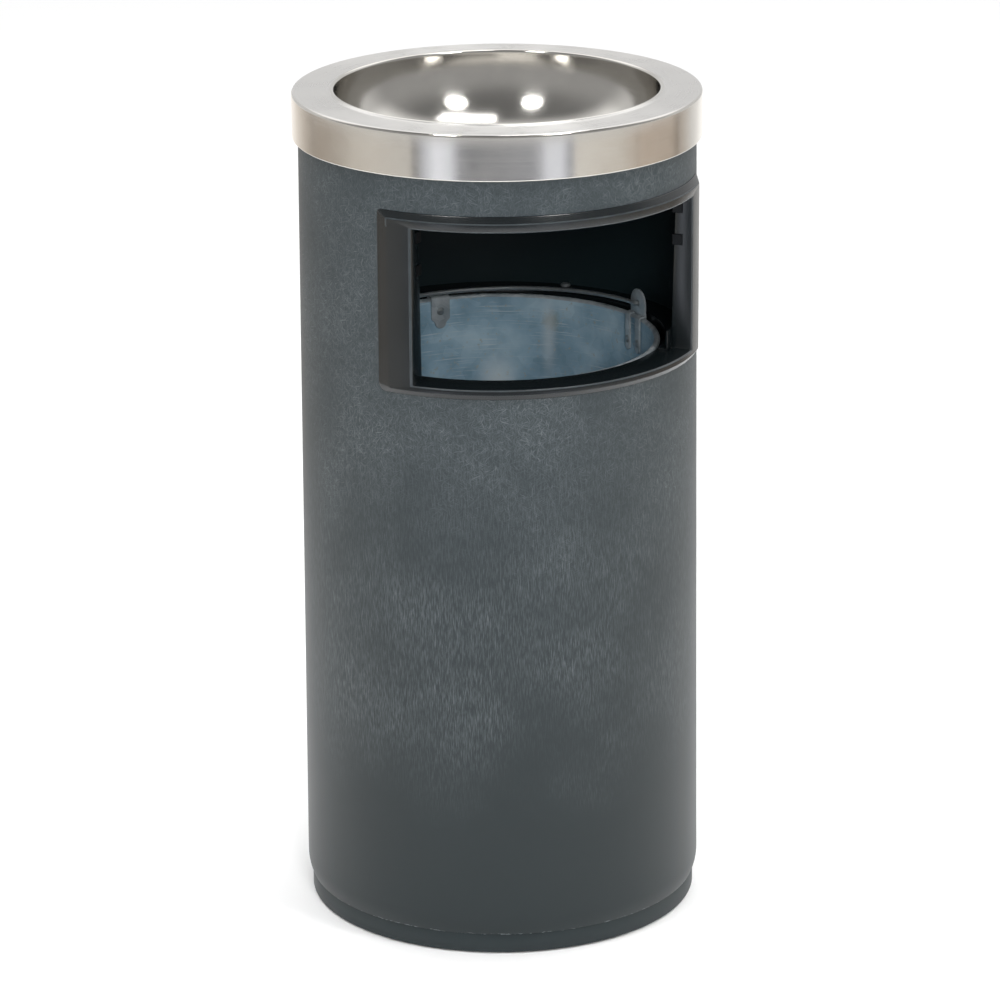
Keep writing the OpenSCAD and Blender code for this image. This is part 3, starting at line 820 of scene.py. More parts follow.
# Glossy moulded ABS: near-black with a soft lustre, dust specks 0.5 mm across and fine hairline scratches
gloss_finish, tree, shader, spot = start_material("abs_gloss_moulded", {"IOR": 1.54})
specks = add_node(tree, "ShaderNodeTexNoise", {"Vector": spot, "Scale": 1 / (1.2 * mm), "Detail": 4.0})
speck_pick = add_node(tree, "ShaderNodeMapRange", {"Value": specks, "From Min": 0.72, "From Max": 0.86})
hair_pick = drawn_noise(tree, spot, (20 * mm, 0.6 * mm, 0.6 * mm), 1.0, 0.7, 0.8, turned=(0.3, 0.2, 0.5))
marks = add_node(tree, "ShaderNodeMath", {0: speck_pick, 1: hair_pick}, operation="MAXIMUM")
tones = {"Factor": marks, 6: linear("#101517"), 7: linear("#1d2224")}
haze = add_node(tree, "ShaderNodeTexNoise", {"Vector": spot, "Scale": 1 / (25 * mm), "Detail": 3.0})
lustre = {"Value": haze, "From Min": 0.3, "From Max": 0.7, "To Min": 0.17, "To Max": 0.24}
feed(shader, {
    "Base Color": add_node(tree, "ShaderNodeMix", tones, data_type="RGBA"),
    "Roughness": add_node(tree, "ShaderNodeMapRange", lustre),
})

# The same plastic, painted paler along the crest and the lip as a painted highlight, in patches 12 mm long
crest_highlight_finish, tree, shader, spot = start_material("abs_gloss_painted_highlight", {"IOR": 1.54, "Roughness": 0.36})
cloudy_tint(tree, shader, spot, 12, 3.0, "#171c1e", "#3c4448")


def frame_loop(half, low, high, radius, proud, corner_low, corner_high):
    """One closed loop of the frame: a rounded rectangle of half angle and heights, proud of a radius rule."""
    degrees_per_mm = math.degrees(1 / face_r)
    sides = []
    for (sx, sz), corner, start in (
        ((1, -1), corner_low, -90), ((1, 1), corner_high, 0),
        ((-1, 1), corner_high, 90), ((-1, -1), corner_low, 180),
    ):
        centre = (sx * (half - corner * degrees_per_mm), (high if sz > 0 else low) - sz * corner)
        turns = [math.radians(start + 15 * k) for k in range(7)]
        wide = corner * degrees_per_mm
        sides += [(centre[0] + wide * math.cos(a), centre[1] + corner * math.sin(a)) for a in turns]
    points = []
    fills = [24, 72, 24, 72]
    for i in range(4):
        corner_points = sides[7 * i : 7 * i + 7]
        following = sides[(7 * i + 7) % 28]
        last = corner_points[-1]
        points += corner_points
        points += [
            tuple(a + (b - a) * k / fills[i] for a, b in zip(last, following)) for k in range(1, fills[i])
        ]
    return [Vector(at_angle(d, radius(z) + proud, z)) * mm for d, z in points]


def return_r(z):
    """Radius of the return's inner edge, which leans outwards towards the head."""
    share_up = (z - sill_z) / (head_z - sill_z)
    return RETURN_R[0] + (RETURN_R[1] - RETURN_R[0]) * min(1.0, max(0.0, share_up))


def face_at(z):
    """Radius of the frame's face, the same at every height."""
    return face_r


# Half angle, lower and upper height, radius rule, how proud of it, and the lower and upper corner radius
frame_loops = [
    (OPEN_HALF + 0.1, sill_z + 0.1, head_z - 0.1, return_r, 0.0, 0.8, 0.8),
    (OPEN_HALF, sill_z, head_z, return_r, 0.8, 0.8, 0.8),
    (OPEN_HALF, sill_z, head_z, face_at, -2.0, 0.8, 0.8),
    (OPEN_HALF + 0.12, sill_z - 0.3, head_z + 0.3, face_at, -1.1, 0.8, 0.8),
    (OPEN_HALF + 0.4, sill_z - 0.8, head_z + 0.8, face_at, -0.55, 0.9, 0.9),
    (OPEN_HALF + 0.8, sill_z - 1.3, head_z + 1.4, face_at, -0.4, 1.0, 1.0),
    (CREST_HALF - 0.5, CREST_LOW + 0.6, CREST_HIGH - 0.7, face_at, -0.02, 1.2, 1.0),
    (CREST_HALF - 0.15, CREST_LOW + 0.15, CREST_HIGH - 0.15, face_at, 0.0, 1.4, 1.0),
    (CREST_HALF + 0.2, CREST_LOW - 0.2, CREST_HIGH + 0.3, face_at, -0.2, 1.8, 1.1),
    (CREST_HALF + 0.5, CREST_LOW - 0.6, CREST_HIGH + 0.8, face_at, -0.5, 2.2, 1.3),
    (OUTER_HALF - 0.5, outer_low + 0.6, outer_high - 0.5, body_r, 0.95, 6.2, 2.6),
    (OUTER_HALF - 0.2, outer_low + 0.2, outer_high - 0.2, body_r, 0.75, 6.6, 2.9),
    (OUTER_HALF, outer_low, outer_high, body_r, 0.4, 6.8, 3.0),
    (OUTER_HALF, outer_low, outer_high, body_r, 0.05, 6.8, 3.0),
    (OPEN_HALF + 1.2, sill_z - RETURN_T, head_z + RETURN_T, body_r, 0.05, 1.4, 1.4),
    (OPEN_HALF + 1.2, sill_z - RETURN_T, head_z + RETURN_T, return_r, 0.4, 1.4, 1.4),
    (OPEN_HALF + 1.0, sill_z - RETURN_T + 0.4, head_z + RETURN_T - 0.4, return_r, 0.0, 1.4, 1.4),
]
work = bmesh.new()
loops = [[work.verts.new(p) for p in frame_loop(*sizes)] for sizes in frame_loops]
LIP_LOOPS = (3, 4)
CREST_LOOPS = (7, 8)
for i, near in enumerate(loops):
    far = loops[(i + 1) % len(loops)]
    for k in range(len(near)):
        n = (k + 1) % len(near)
        face = work.faces.new((near[k], near[n], far[n], far[k]))
        # Lip faces all round, and crest faces on the top bar only, take the painted highlight
        on_top = near[k].co.z > (head_z + 1) * mm
        face.material_index = 1 if i in LIP_LOOPS or (i in CREST_LOOPS and on_top) else 0
surround = link_mesh("frame_surround", shape_mesh("frame_surround", work, [gloss_finish, crest_highlight_finish], 50))
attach(surround, "bin_body")
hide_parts("aperture_frame")


# ---- Frame clips ------------------------------------------------------------
# Spring-steel U clips pushed over the inner edge of the frame's return, two at each side; the leg
# outside the opening is longer and hooks behind the body's wall.
def strip_mesh(name, path, thickness, width, finish, steps=5):
    """A bent strip: (x, z) points and a bend radius at each, swept across the Y axis."""
    line = [Vector((path[0][0], path[0][1]))]
    for before, here, after in zip(path, path[1:], path[2:]):
        corner = Vector(here[:2])
        into = (corner - Vector(before[:2])).normalized()
        out = (Vector(after[:2]) - corner).normalized()
        reach = here[2] * math.tan(into.angle(out) / 2)
        start = corner - into * reach
        end = corner + out * reach
        shares = [k / steps for k in range(steps + 1)]
        line += [(1 - t) ** 2 * start + 2 * t * (1 - t) * corner + t**2 * end for t in shares]
    line.append(Vector((path[-1][0], path[-1][1])))
    left = []
    right = []
    for i, point in enumerate(line):
        ahead = line[min(i + 1, len(line) - 1)] - line[max(i - 1, 0)]
        across = Vector((-ahead.y, ahead.x)).normalized() * thickness / 2
        left.append(point + across)
        right.append(point - across)
    work = bmesh.new()
    rings = []
    ease = min(0.25, thickness / 4)
    for y, shrink in ((-width / 2, ease), (-width / 2 + ease, 0), (width / 2 - ease, 0), (width / 2, ease)):
        ring = []
        for a, b in zip(left, right):
            mid = (a + b) / 2
            keep = 1 - 2 * shrink / thickness
            pair = (mid + (a - mid) * keep, mid + (b - mid) * keep)
            ring.append([work.verts.new(Vector((p.x, y, p.y)) * mm) for p in pair])
        rings.append(ring)
    for one, two in zip(rings, rings[1:]):
        for i in range(len(line) - 1):
            work.faces.new((one[i][0], one[i + 1][0], two[i + 1][0], two[i][0]))
            work.faces.new((one[i][1], two[i][1], two[i + 1][1], one[i + 1][1]))
        for i in (0, len(line) - 1):
            work.faces.new((one[i][0], two[i][0], two[i][1], one[i][1]))
    for ring in (rings[0], rings[-1]):
        for i in range(len(line) - 1):
            work.faces.new((ring[i][0], ring[i + 1][0], ring[i + 1][1], ring[i][1]))
    return shape_mesh(name, work, [finish])


# Blackened spring steel: oil-dark, low sheen, worn slightly brighter in patches 2 mm across
black_steel, tree, shader, spot = start_material(
    "steel_spring_blackened", {"Metallic": 0.9, "Roughness": 0.45}
)
cloudy_tint(tree, shader, spot, 2, 4.0, "#1a1b1d", "#2c2e30")

CLIP_T = 1.0
CLIP_GAP = 3.2
CLIP_H = 8.0
CLIP_ZS = [head_z - 36, head_z - 12]
half_gap = (CLIP_GAP + CLIP_T) / 2
clip_back = -(CLIP_T / 2 + 0.2)
clip_pieces = []
for side, name in ((1, "right"), (-1, "left")):
    long_leg, short_leg = 6.9, 3.9
    ends = (long_leg, short_leg) if side > 0 else (short_leg, long_leg)
    clip_path = [
        (ends[0], half_gap), (clip_back + 1.4, half_gap - 0.25, 1.0), (clip_back, half_gap, 0.9),
        (clip_back, -half_gap, 0.9),
        (clip_back + 1.4, -half_gap + 0.25, 1.0), (ends[1], -half_gap),
    ]
    clip = strip_mesh("frame_clip", clip_path, CLIP_T, CLIP_H, black_steel)
    moved(clip, Matrix.Rotation(math.pi / 2, 4, "X"))
    places = [at_angle(side * (OPEN_HALF + 0.6), 134.0, z + CLIP_H / 2) for z in CLIP_ZS]
    clip_pieces.append(spread("frame_clips_" + name, clip, places, black_steel))
frame_clips = link_mesh("frame_clip_set", join("frame_clip_set", clip_pieces))
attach(frame_clips, "bin_body")
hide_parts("frame_clips")


# ---- Bucket collar ----------------------------------------------------------
# Glossy black ring that hides the gap between the bucket's rim and the body; its front is notched for the
# frame's return, its inner edge has a turned-down lip, and four screws hold it on the body's bosses.
COLLAR_R = 123.0
COLLAR_OUT = body_r(sill_z) - BODY_WALL - 0.4
NOTCH_HALF = 49.7
NOTCH_R = 133.6
LIP_H = 9.0


def collar_mesh():
    """The ring, drawn angle by angle so that the notch can take the outer part away at the front."""
    lip = COLLAR_R + 2
    low = sill_z - COLLAR_T
    angles = [-NOTCH_HALF + 2 * NOTCH_HALF * i / 60 for i in range(61)]
    angles += [NOTCH_HALF + (360 - 2 * NOTCH_HALF) * i / 160 for i in range(161)]
    outer = [NOTCH_R] * 61 + [COLLAR_OUT] * 161
    work = bmesh.new()
    rings = []
    for degrees, out in zip(angles, outer):
        section = [
            (COLLAR_R, sill_z - LIP_H + 0.4), (COLLAR_R + 0.4, sill_z - LIP_H), (lip - 0.3, sill_z - LIP_H),
            (lip, sill_z - LIP_H + 0.4), (lip, low - 0.8), (lip + 0.8, low), (out - 0.3, low),
            (out, low + 0.3),
            (out, sill_z - 0.4), (out - 0.4, sill_z), (COLLAR_R + 1.0, sill_z),
            (COLLAR_R + 0.3, sill_z - 0.3),
            (COLLAR_R, sill_z - 1.0),
        ]
        rings.append([work.verts.new(Vector(at_angle(degrees, r, z)) * mm) for r, z in section])
    for near, far in zip(rings, rings[1:] + rings[:1]):
        for k in range(len(near)):
            n = (k + 1) % len(near)
            work.faces.new((near[k], near[n], far[n], far[k]))
    return shape_mesh("collar", work, [gloss_finish], 40)


collar = link_mesh("collar_ring", collar_mesh())
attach(collar, "bin_body")
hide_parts("bucket_collar")

collar_screw = moved(screw_mesh("collar_screw", COLLAR_T + 12), Matrix.Rotation(math.pi, 4, "X"))
screws = spread(
    "collar_screw_set",
    collar_screw,
    [at_angle(a, COLLAR_SCREW_AT, sill_z) for a in COLLAR_ANGLES],
    plated_finish,
    twist=0.8,
    seed=5,
)
collar_screws = link_mesh("collar_screw_set", screws)
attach(collar_screws, "bin_body")
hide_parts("collar_screws")

# One angle clip ties the collar to the right end of the sill
corner_path = [(131.6 + 0.8 - 134, 15), (131.6 + 0.8 - 134, 0.7, 1.6), (126 - 134, 0.7)]
corner_clip = strip_mesh("collar_clip", corner_path, 1.4, 7, gloss_finish)
clip_mesh = spread("collar_angle_clip", corner_clip, [at_angle(OPEN_HALF - 2.2, 134, sill_z)], gloss_finish)
angle_clip = link_mesh("collar_angle_clip", clip_mesh)
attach(angle_clip, "bin_body")
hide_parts("collar_clip")


# ---- Bucket wall ------------------------------------------------------------
# Tapered galvanised sheet, closed with a lock seam and rolled over a wire at the rim. Use has left it
# dull and blotched, with a small dent and a stain near the back of the rim.
wall_low, wall_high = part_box("bucket_wall")
foot_z = wall_low.z / mm
rim_z = wall_high.z / mm
rim_r = wall_high.x / mm
FOOT_R = 103.0
ZINC_T = 0.8
BEAD_R = 2.3
bead_at = rim_r - BEAD_R
bead_z = rim_z - BEAD_R
wall_top_r = rim_r - 2 * BEAD_R + ZINC_T
HOOP_H = 24.0


def wall_r(z):
    """Outer radius of the bucket's wall at a height."""
    return FOOT_R + (wall_top_r - FOOT_R) * (z - foot_z) / (bead_z - foot_z)


# Hot-dip galvanised sheet, weathered: blue-grey, spangle crystals about 9 mm across, cloudy dull patches of
# 30 mm, chalky specks and faint scratches round the wall
SPANGLE = 9.0
zinc_finish, tree, shader, spot = start_material("steel_galvanised", {"Metallic": 0.3})
spangle = add_node(tree, "ShaderNodeTexVoronoi", {"Vector": spot, "Scale": 1 / (SPANGLE * mm)})
crystal = add_node(tree, "ShaderNodeSeparateXYZ", {"Vector": spangle.outputs["Color"]})
blotch = add_node(tree, "ShaderNodeTexNoise", {"Vector": spot, "Scale": 1 / (30 * mm), "Detail": 5.0})
chalk = add_node(tree, "ShaderNodeTexNoise", {"Vector": spot, "Scale": 1 / (3 * mm), "Detail": 4.0})
rubs = drawn_noise(tree, spot, (30 * mm, 30 * mm, 1.0 * mm), 2.0, 0.6, 0.75)
mottle = add_node(tree, "ShaderNodeMath", {0: crystal, 1: 0.12, 2: blotch}, operation="MULTIPLY_ADD")
tint = add_node(tree, "ShaderNodeValToRGB", {"Fac": mottle})
set_stops(tint, [(0.33, linear("#7e9db0")), (0.55, linear("#98b7c9")), (0.78, linear("#b4cedb"))])
chalk_pick = add_node(tree, "ShaderNodeMapRange", {"Value": chalk, "From Min": 0.62, "From Max": 0.74})
# The stain: a soft patch where something was stuck to the wall under the rim
stain_place = {
    "Vector": spot, "Location": Vector(at_angle(136.3, 113.0, 412.0)) * mm, "Scale": (7 * mm, 7 * mm, 9 * mm)
}
stain_map = add_node(tree, "ShaderNodeMapping", stain_place, vector_type="TEXTURE")
stain_reach = add_node(tree, "ShaderNodeVectorMath", {0: stain_map}, operation="LENGTH")
stain_edge = add_node(tree, "ShaderNodeMath", {0: chalk, 1: 1.2, 2: stain_reach}, operation="MULTIPLY_ADD")
stain_share = {"Value": stain_edge, "From Min": 1.0, "From Max": 1.7, "To Min": 0.7, "To Max": 0.0}
stain = add_node(tree, "ShaderNodeMapRange", stain_share)
layers = [(rubs, "#c4d3da"), (chalk_pick, "#a9aea9"), (stain, "#84887f")]
# Two painted highlights, pale patches that stand in for light glinting on the wall: an upright one through
# the stain and a low one towards the middle, as the angle, the height and the half width and half height, in
# millimetres, and how bright
GLINT_PATCHES = [(137.2, 402, 8, 42, 0.55), (157.7, 358, 20, 34, 0.75)]
for degrees, rise, half_wide, half_high, strength in GLINT_PATCHES:
    place = {
        "Vector": spot,
        "Location": Vector(at_angle(degrees, 112.0, rise)) * mm,
        "Rotation": (0, 0, math.radians(degrees - 90)),
        "Scale": (60 * mm, half_wide * mm, half_high * mm),
    }
    patch = add_node(tree, "ShaderNodeMapping", place, vector_type="TEXTURE")
    reach = add_node(tree, "ShaderNodeVectorMath", {0: patch}, operation="LENGTH")
    fade = {"Value": reach, "From Min": 0.0, "From Max": 1.1, "To Min": strength, "To Max": 0.0}
    share = add_node(tree, "ShaderNodeMapRange", fade, interpolation_type="SMOOTHSTEP")
    layers.append((share, "#dbe6ea"))
for amount, tone in layers:
    tint = add_node(tree, "ShaderNodeMix", {"Factor": amount, 6: tint, 7: linear(tone)}, data_type="RGBA")
dull = {"Value": blotch, "From Min": 0.3, "From Max": 0.7, "To Min": 0.32, "To Max": 0.5}
feed(shader, {"Base Color": tint, "Roughness": add_node(tree, "ShaderNodeMapRange", dull)})
raise_grain(tree, shader, mottle, 0.2, 0.3)

# The same coating outside and on the rim, where handling keeps it bright: neutral grey, the same spangle
# crystals over clouds of 12 mm
bright_zinc, tree, shader, spot = start_material(
    "steel_galvanised_bright", {"Metallic": 0.5, "Roughness": 0.36}
)
spangle = add_node(tree, "ShaderNodeTexVoronoi", {"Vector": spot, "Scale": 1 / (SPANGLE * mm)})
crystal = add_node(tree, "ShaderNodeSeparateXYZ", {"Vector": spangle.outputs["Color"]})
cloud = add_node(tree, "ShaderNodeTexNoise", {"Vector": spot, "Scale": 1 / (12 * mm), "Detail": 5.0})
mottle = add_node(tree, "ShaderNodeMath", {0: crystal, 1: 0.3, 2: cloud}, operation="MULTIPLY_ADD")
level = add_node(tree, "ShaderNodeMapRange", {"Value": mottle, "From Min": 0.35, "From Max": 0.95})
tones = {"Factor": level, 6: linear("#929da3"), 7: linear("#c6cdd0")}
feed(shader, {"Base Color": add_node(tree, "ShaderNodeMix", tones, data_type="RGBA")})

WALL_ROWS = 30
rises = [foot_z + (bead_z - 3 - foot_z) * i / WALL_ROWS for i in range(WALL_ROWS + 1)]
wall_section = [(wall_r(z), z) for z in rises]
wall_section += arc(bead_at, bead_z, BEAD_R, 215, 360, 12)
wall_section += arc(bead_at, bead_z, BEAD_R, 372, 540, 14)
wall_section += [(wall_r(z) - ZINC_T, z) for z in reversed(rises)]
wall = refinish(spin("bucket_wall", wall_section, 240, zinc_finish), [zinc_finish, bright_zinc])
for face in wall.polygons:
    outward = face.normal.xy.dot(face.center.xy) > 0
    face.material_index = 1 if outward or face.center.z / mm > bead_z - 0.5 else 0

# The dent pushes both faces of the sheet outwards a little under the rim
DENT = Vector(at_angle(160.5, 114.0, 424.5)) * mm
DENT_REACH = 7 * mm
DENT_DEPTH = 1.3 * mm
for vertex in wall.vertices:
    gap = (vertex.co - DENT).length / DENT_REACH
    push = DENT_DEPTH * math.exp(-gap * gap)
    flat = Vector((vertex.co.x, vertex.co.y, 0)).normalized()
    vertex.co += flat * push
wall.update()

# Lock seam: the sheet's folded edges, pressed flat down the outside
seam = plate("lock_seam", box_outline(8, bead_z - 8 - foot_z - HOOP_H, 0.6), [], 1.3, 0.35, bright_zinc)
lean = math.atan((wall_top_r - FOOT_R) / (bead_z - foot_z))
seam_mid = (foot_z + HOOP_H + bead_z) / 2 - 2
moved(
    seam,
    Matrix.Translation(Vector((0, -wall_r(seam_mid) - 0.25, seam_mid)) * mm)
    @ Matrix.Rotation(math.pi / 2 + lean, 4, "X"),
)
bucket = link_mesh("bucket_shell", join("bucket_shell", [wall, seam]))
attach(bucket, "bucket")
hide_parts("bucket_wall")


# ---- Bucket bottom, foot hoop and rim wire ----------------------------------
# The bottom is a pressed disc with a turned-down edge and one stiffening bead; a hoop of the same sheet
# strengthens the foot, and a steel wire lies inside the rolled rim.
DISC_Z = foot_z + 8.2
edge_r = wall_r(DISC_Z) - ZINC_T - 0.25
disc_section = [
    (0, DISC_Z), (55, DISC_Z), (58, DISC_Z - 1.2), (61, DISC_Z - 1.2), (64, DISC_Z),
    (edge_r - 2, DISC_Z), (edge_r - ZINC_T, DISC_Z - 1.2),
    (edge_r - ZINC_T - 0.5, foot_z + 1), (edge_r - 0.5, foot_z + 1), (edge_r, DISC_Z - 1.2),
    (edge_r - 0.3, DISC_Z + ZINC_T - 0.5),
    (edge_r - 1.2, DISC_Z + ZINC_T), (64, DISC_Z + ZINC_T), (61, DISC_Z + ZINC_T - 1.2),
    (58, DISC_Z + ZINC_T - 1.2),
    (55, DISC_Z + ZINC_T), (0, DISC_Z + ZINC_T),
]
bottom = link_mesh("bucket_bottom", spin("bucket_bottom", disc_section, 180, zinc_finish))
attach(bottom, "bucket")
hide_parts("bucket_base")

hoop_section = [
    (wall_r(foot_z) + 0.05, foot_z), (wall_r(foot_z) + 0.9, foot_z), (wall_r(foot_z) + 1.1, foot_z + 0.3),
    (wall_r(foot_z + 9) + 1.1, foot_z + 9), (wall_r(foot_z + 10) + 0.8, foot_z + 10),
    (wall_r(foot_z + 14) + 0.8, foot_z + 14),
    (wall_r(foot_z + 15) + 1.1, foot_z + 15), (wall_r(foot_z + HOOP_H) + 1.1, foot_z + HOOP_H - 0.3),
    (wall_r(foot_z + HOOP_H) + 0.9, foot_z + HOOP_H), (wall_r(foot_z + HOOP_H) + 0.05, foot_z + HOOP_H),
]
hoop = link_mesh("bucket_hoop", spin("bucket_hoop", hoop_section, 180, bright_zinc, 25))
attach(hoop, "bucket")
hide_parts("bucket_foot_hoop")

RIM_WIRE_R = 1.4
wire_section = arc(bead_at, bead_z, RIM_WIRE_R, 0, 324, 9)
rim_wire = link_mesh("rim_wire", spin("rim_wire", wire_section, 160, plated_finish, 60))
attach(rim_wire, "bucket")
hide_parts("bucket_rim_wire")


# ---- Bucket ears ------------------------------------------------------------
# Pressed galvanised brackets, one at each side: two legs riveted inside the wall, a saddle over the rim,
# a flap outside it and a round-topped plate with the hole for the bail.
EAR_TURN = 3.5
EAR_T = 1.5
EAR_W = 22.0
LEG_W = 7.0
LEG_OUT = (EAR_W - LEG_W) / 2
SADDLE_Z = rim_z + 0.3
SADDLE_T = 1.4
LEG_LOW = rim_z - 27.5
RIVET_Z = rim_z - 19.5
LEG_X = wall_top_r - 3.6
LEG_MID = LEG_X + EAR_T / 2
PLATE_X = bead_at - 0.4
FLAP_X = rim_r + 0.3
FLAP_MID = FLAP_X + EAR_T / 2
FLAP_W = 12.0
FLAP_H = 9.0
PIVOT_Z = rim_z + 9.5
PIVOT_R = 2.1


# A flat piece in the XY plane stands up with its X axis across the ear and its Y axis upwards
upright_at = Matrix(((0, 0, 1, 0), (1, 0, 0, 0), (0, 1, 0, 0), (0, 0, 0, 1)))


def ear_mesh():
    """One ear at the origin of its own turn, X outwards."""
    round_top = arc(0, PIVOT_Z, EAR_W / 2, 0, 180, 24)
    face = [(EAR_W / 2, SADDLE_Z + 0.2)] + round_top + [(-EAR_W / 2, SADDLE_Z + 0.2)]
    tongue = plate("tongue", face, [arc(0, PIVOT_Z, PIVOT_R, 0, 360, 28)[:-1]], EAR_T, 0.3, bright_zinc)
    moved(tongue, Matrix.Translation(((PLATE_X + EAR_T / 2) * mm, 0, 0)) @ upright_at)
    mid_saddle = SADDLE_Z + SADDLE_T / 2
    legs = []
    for y in (-LEG_OUT, LEG_OUT):
        shank = arc(0, LEG_LOW + LEG_W / 2, LEG_W / 2, 180, 360, 14)
        shank += [(LEG_W / 2, SADDLE_Z - 0.6), (-LEG_W / 2, SADDLE_Z - 0.6)]
        leg = plate("leg", shank, [], EAR_T, 0.3, bright_zinc)
        moved(leg, Matrix.Translation((LEG_MID * mm, y * mm, 0)) @ upright_at)
        legs.append(leg)
        bend_path = [(LEG_MID, SADDLE_Z - 3), (LEG_MID, mid_saddle, 2.0), (PLATE_X + 0.5, mid_saddle)]
        bend = strip_mesh("bend", bend_path, SADDLE_T, LEG_W, bright_zinc)
        legs.append(moved(bend, Matrix.Translation((0, y * mm, 0))))
    flap_path = [
        (PLATE_X + 0.5, mid_saddle), (FLAP_MID, mid_saddle, 2.0),
        (FLAP_MID, SADDLE_Z - FLAP_H),
    ]
    flap = strip_mesh("flap", flap_path, SADDLE_T, FLAP_W, bright_zinc)
    return join("ear", [tongue] + legs + [flap])


for name, node, turn in (("ear_right", "bucket_ear_right", 0), ("ear_left", "bucket_ear_left", 180)):
    made = moved(ear_mesh(), Matrix.Rotation(math.radians(EAR_TURN + turn), 4, "Z"))
    ear = link_mesh(name, made)
    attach(ear, "bucket")
    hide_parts(node)

# Round-head rivets: a domed head inside on the leg and a hammered one outside the wall
RIVET_R = 1.8
RIVET_HEAD_R = 3.0
RIVET_HEAD_T = 0.9


def rivet_mesh(inner_x, z):
    """A rivet along X, its inner head's seat at inner_x, modelled from the axis outwards."""
    outer_x = wall_r(z) + 0.3
    dome = [(0, -RIVET_HEAD_T), (1.2, -RIVET_HEAD_T + 0.06), (2.2, -RIVET_HEAD_T + 0.28), (2.8, -0.28)]
    dome += [(RIVET_HEAD_R, 0), (RIVET_R, 0)]
    length = outer_x - inner_x
    tail = [(RIVET_HEAD_R, length), (2.7, length + 0.35), (1.9, length + 0.7), (0, length + RIVET_HEAD_T)]
    made = spin("rivet", dome + [(RIVET_R, length)] + tail, 28, plated_finish, 50)
    lay = Matrix.Translation((inner_x * mm, 0, z * mm)) @ Matrix.Rotation(math.pi / 2, 4, "Y")
    return moved(made, lay)


ear_rivet_pieces = []
for turn in (EAR_TURN, EAR_TURN + 180):
    for y in (-LEG_OUT, LEG_OUT):
        lay = Matrix.Rotation(math.radians(turn), 4, "Z") @ Matrix.Translation((0, y * mm, 0))
        ear_rivet_pieces.append(moved(rivet_mesh(LEG_X, RIVET_Z), lay))
ear_rivets = link_mesh("ear_rivet_set", join("ear_rivet_set", ear_rivet_pieces))
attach(ear_rivets, "bucket")
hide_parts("ear_rivets")


# ---- Rim clip ---------------------------------------------------------------
# Saddle of galvanised sheet at the back of the rim, on which the lowered bail rests; its inner leg ends in
# a rounded tongue and one rivet holds it.
CLIP_W = 15.0
CLIP_LOW = rim_z - 19
CLIP_RIVET_Z = rim_z - 10
TONGUE_R = 4.5
shoulder = [(CLIP_W / 2, SADDLE_Z - 0.6), (CLIP_W / 2, CLIP_LOW + 3), (TONGUE_R + 1, CLIP_LOW + 1.2)]
tongue_face = [(-x, z) for x, z in shoulder] + arc(0, CLIP_LOW, TONGUE_R, 180, 360, 16) + shoulder[::-1]
clip_leg = plate("clip_leg", tongue_face, [], EAR_T, 0.3, bright_zinc)
moved(clip_leg, Matrix.Translation((LEG_MID * mm, 0, 0)) @ upright_at)
mid_saddle = SADDLE_Z + SADDLE_T / 2
clip_path = [
    (LEG_MID, SADDLE_Z - 3), (LEG_MID, mid_saddle, 2.0),
    (FLAP_MID, mid_saddle, 2.0),
    (FLAP_MID, SADDLE_Z - FLAP_H),
]
clip_over = strip_mesh("clip_over", clip_path, SADDLE_T, CLIP_W, bright_zinc)
quarter = Matrix.Rotation(math.pi / 2, 4, "Z")
rim_clip = link_mesh("rim_clip_bracket", moved(join("rim_clip_bracket", [clip_leg, clip_over]), quarter))
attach(rim_clip, "bucket")
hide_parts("rim_clip")

clip_rivet = link_mesh("rim_clip_rivet", moved(rivet_mesh(LEG_X, CLIP_RIVET_Z), quarter))
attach(clip_rivet, "bucket")
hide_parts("clip_rivet")


# ---- Bail -------------------------------------------------------------------
# Galvanised wire handle, lowered to the back on the rim clip; its ends are bent outwards through the ears.
WIRE_R = 1.6
BAIL_R = PLATE_X - WIRE_R - 0.4
BAIL_REST_Z = SADDLE_Z + SADDLE_T + 0.7 + WIRE_R
bail_tilt = math.asin((PIVOT_Z - BAIL_REST_Z) / BAIL_R)
STUD_END = FLAP_X + 1.6
BEND_R = 4.0


def bail_mesh():
    """The wire as a swept tube: an arc, a tight bend at each ear and a straight end through the hole."""
    start = math.degrees(math.asin(BEND_R / BAIL_R)) + 0.6
    turns = [math.radians(start + (180 - 2 * start) * i / 120) for i in range(121)]
    middle = [Vector((BAIL_R * math.cos(a), BAIL_R * math.sin(a), 0)) for a in turns]
    first = middle[0]
    last = middle[-1]
    ends = []
    for tip, sign in ((first, 1), (last, -1)):
        corner = Vector((sign * BAIL_R, 0, 0))
        out = Vector((sign * (BAIL_R + 2.0), 0, 0))
        shares = [k / 8 for k in range(8)]
        ends.append([(1 - t) ** 2 * out + 2 * t * (1 - t) * corner + t**2 * tip for t in shares])
    line = [Vector((STUD_END, 0, 0))] + ends[0] + middle + ends[1][::-1] + [Vector((-STUD_END, 0, 0))]
    curve = bpy.data.curves.new("bail", "CURVE")
    curve.dimensions = "3D"
    curve.bevel_depth = WIRE_R * mm
    curve.bevel_resolution = 4
    curve.use_fill_caps = True
    spline = curve.splines.new("POLY")
    spline.points.add(len(line) - 1)
    for point, co in zip(spline.points, line):
        point.co = (*(co * mm), 1)
        out_by = abs(co.x) - BAIL_R
        point.radius = 1.0 if out_by < 0 else 0.94
    holder = bpy.data.objects.new("bail", curve)
    scene.collection.objects.link(holder)
    return tidy_faces(refinish(plain_mesh(holder), [plated_finish]), 50)


bail_place = (
    Matrix.Rotation(math.radians(EAR_TURN), 4, "Z")
    @ Matrix.Translation((0, 0, PIVOT_Z * mm))
    @ Matrix.Rotation(-bail_tilt, 4, "X")
)
bail = link_mesh("bail_wire", moved(bail_mesh(), bail_place))
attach(bail, "bail")
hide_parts("bail_handle")


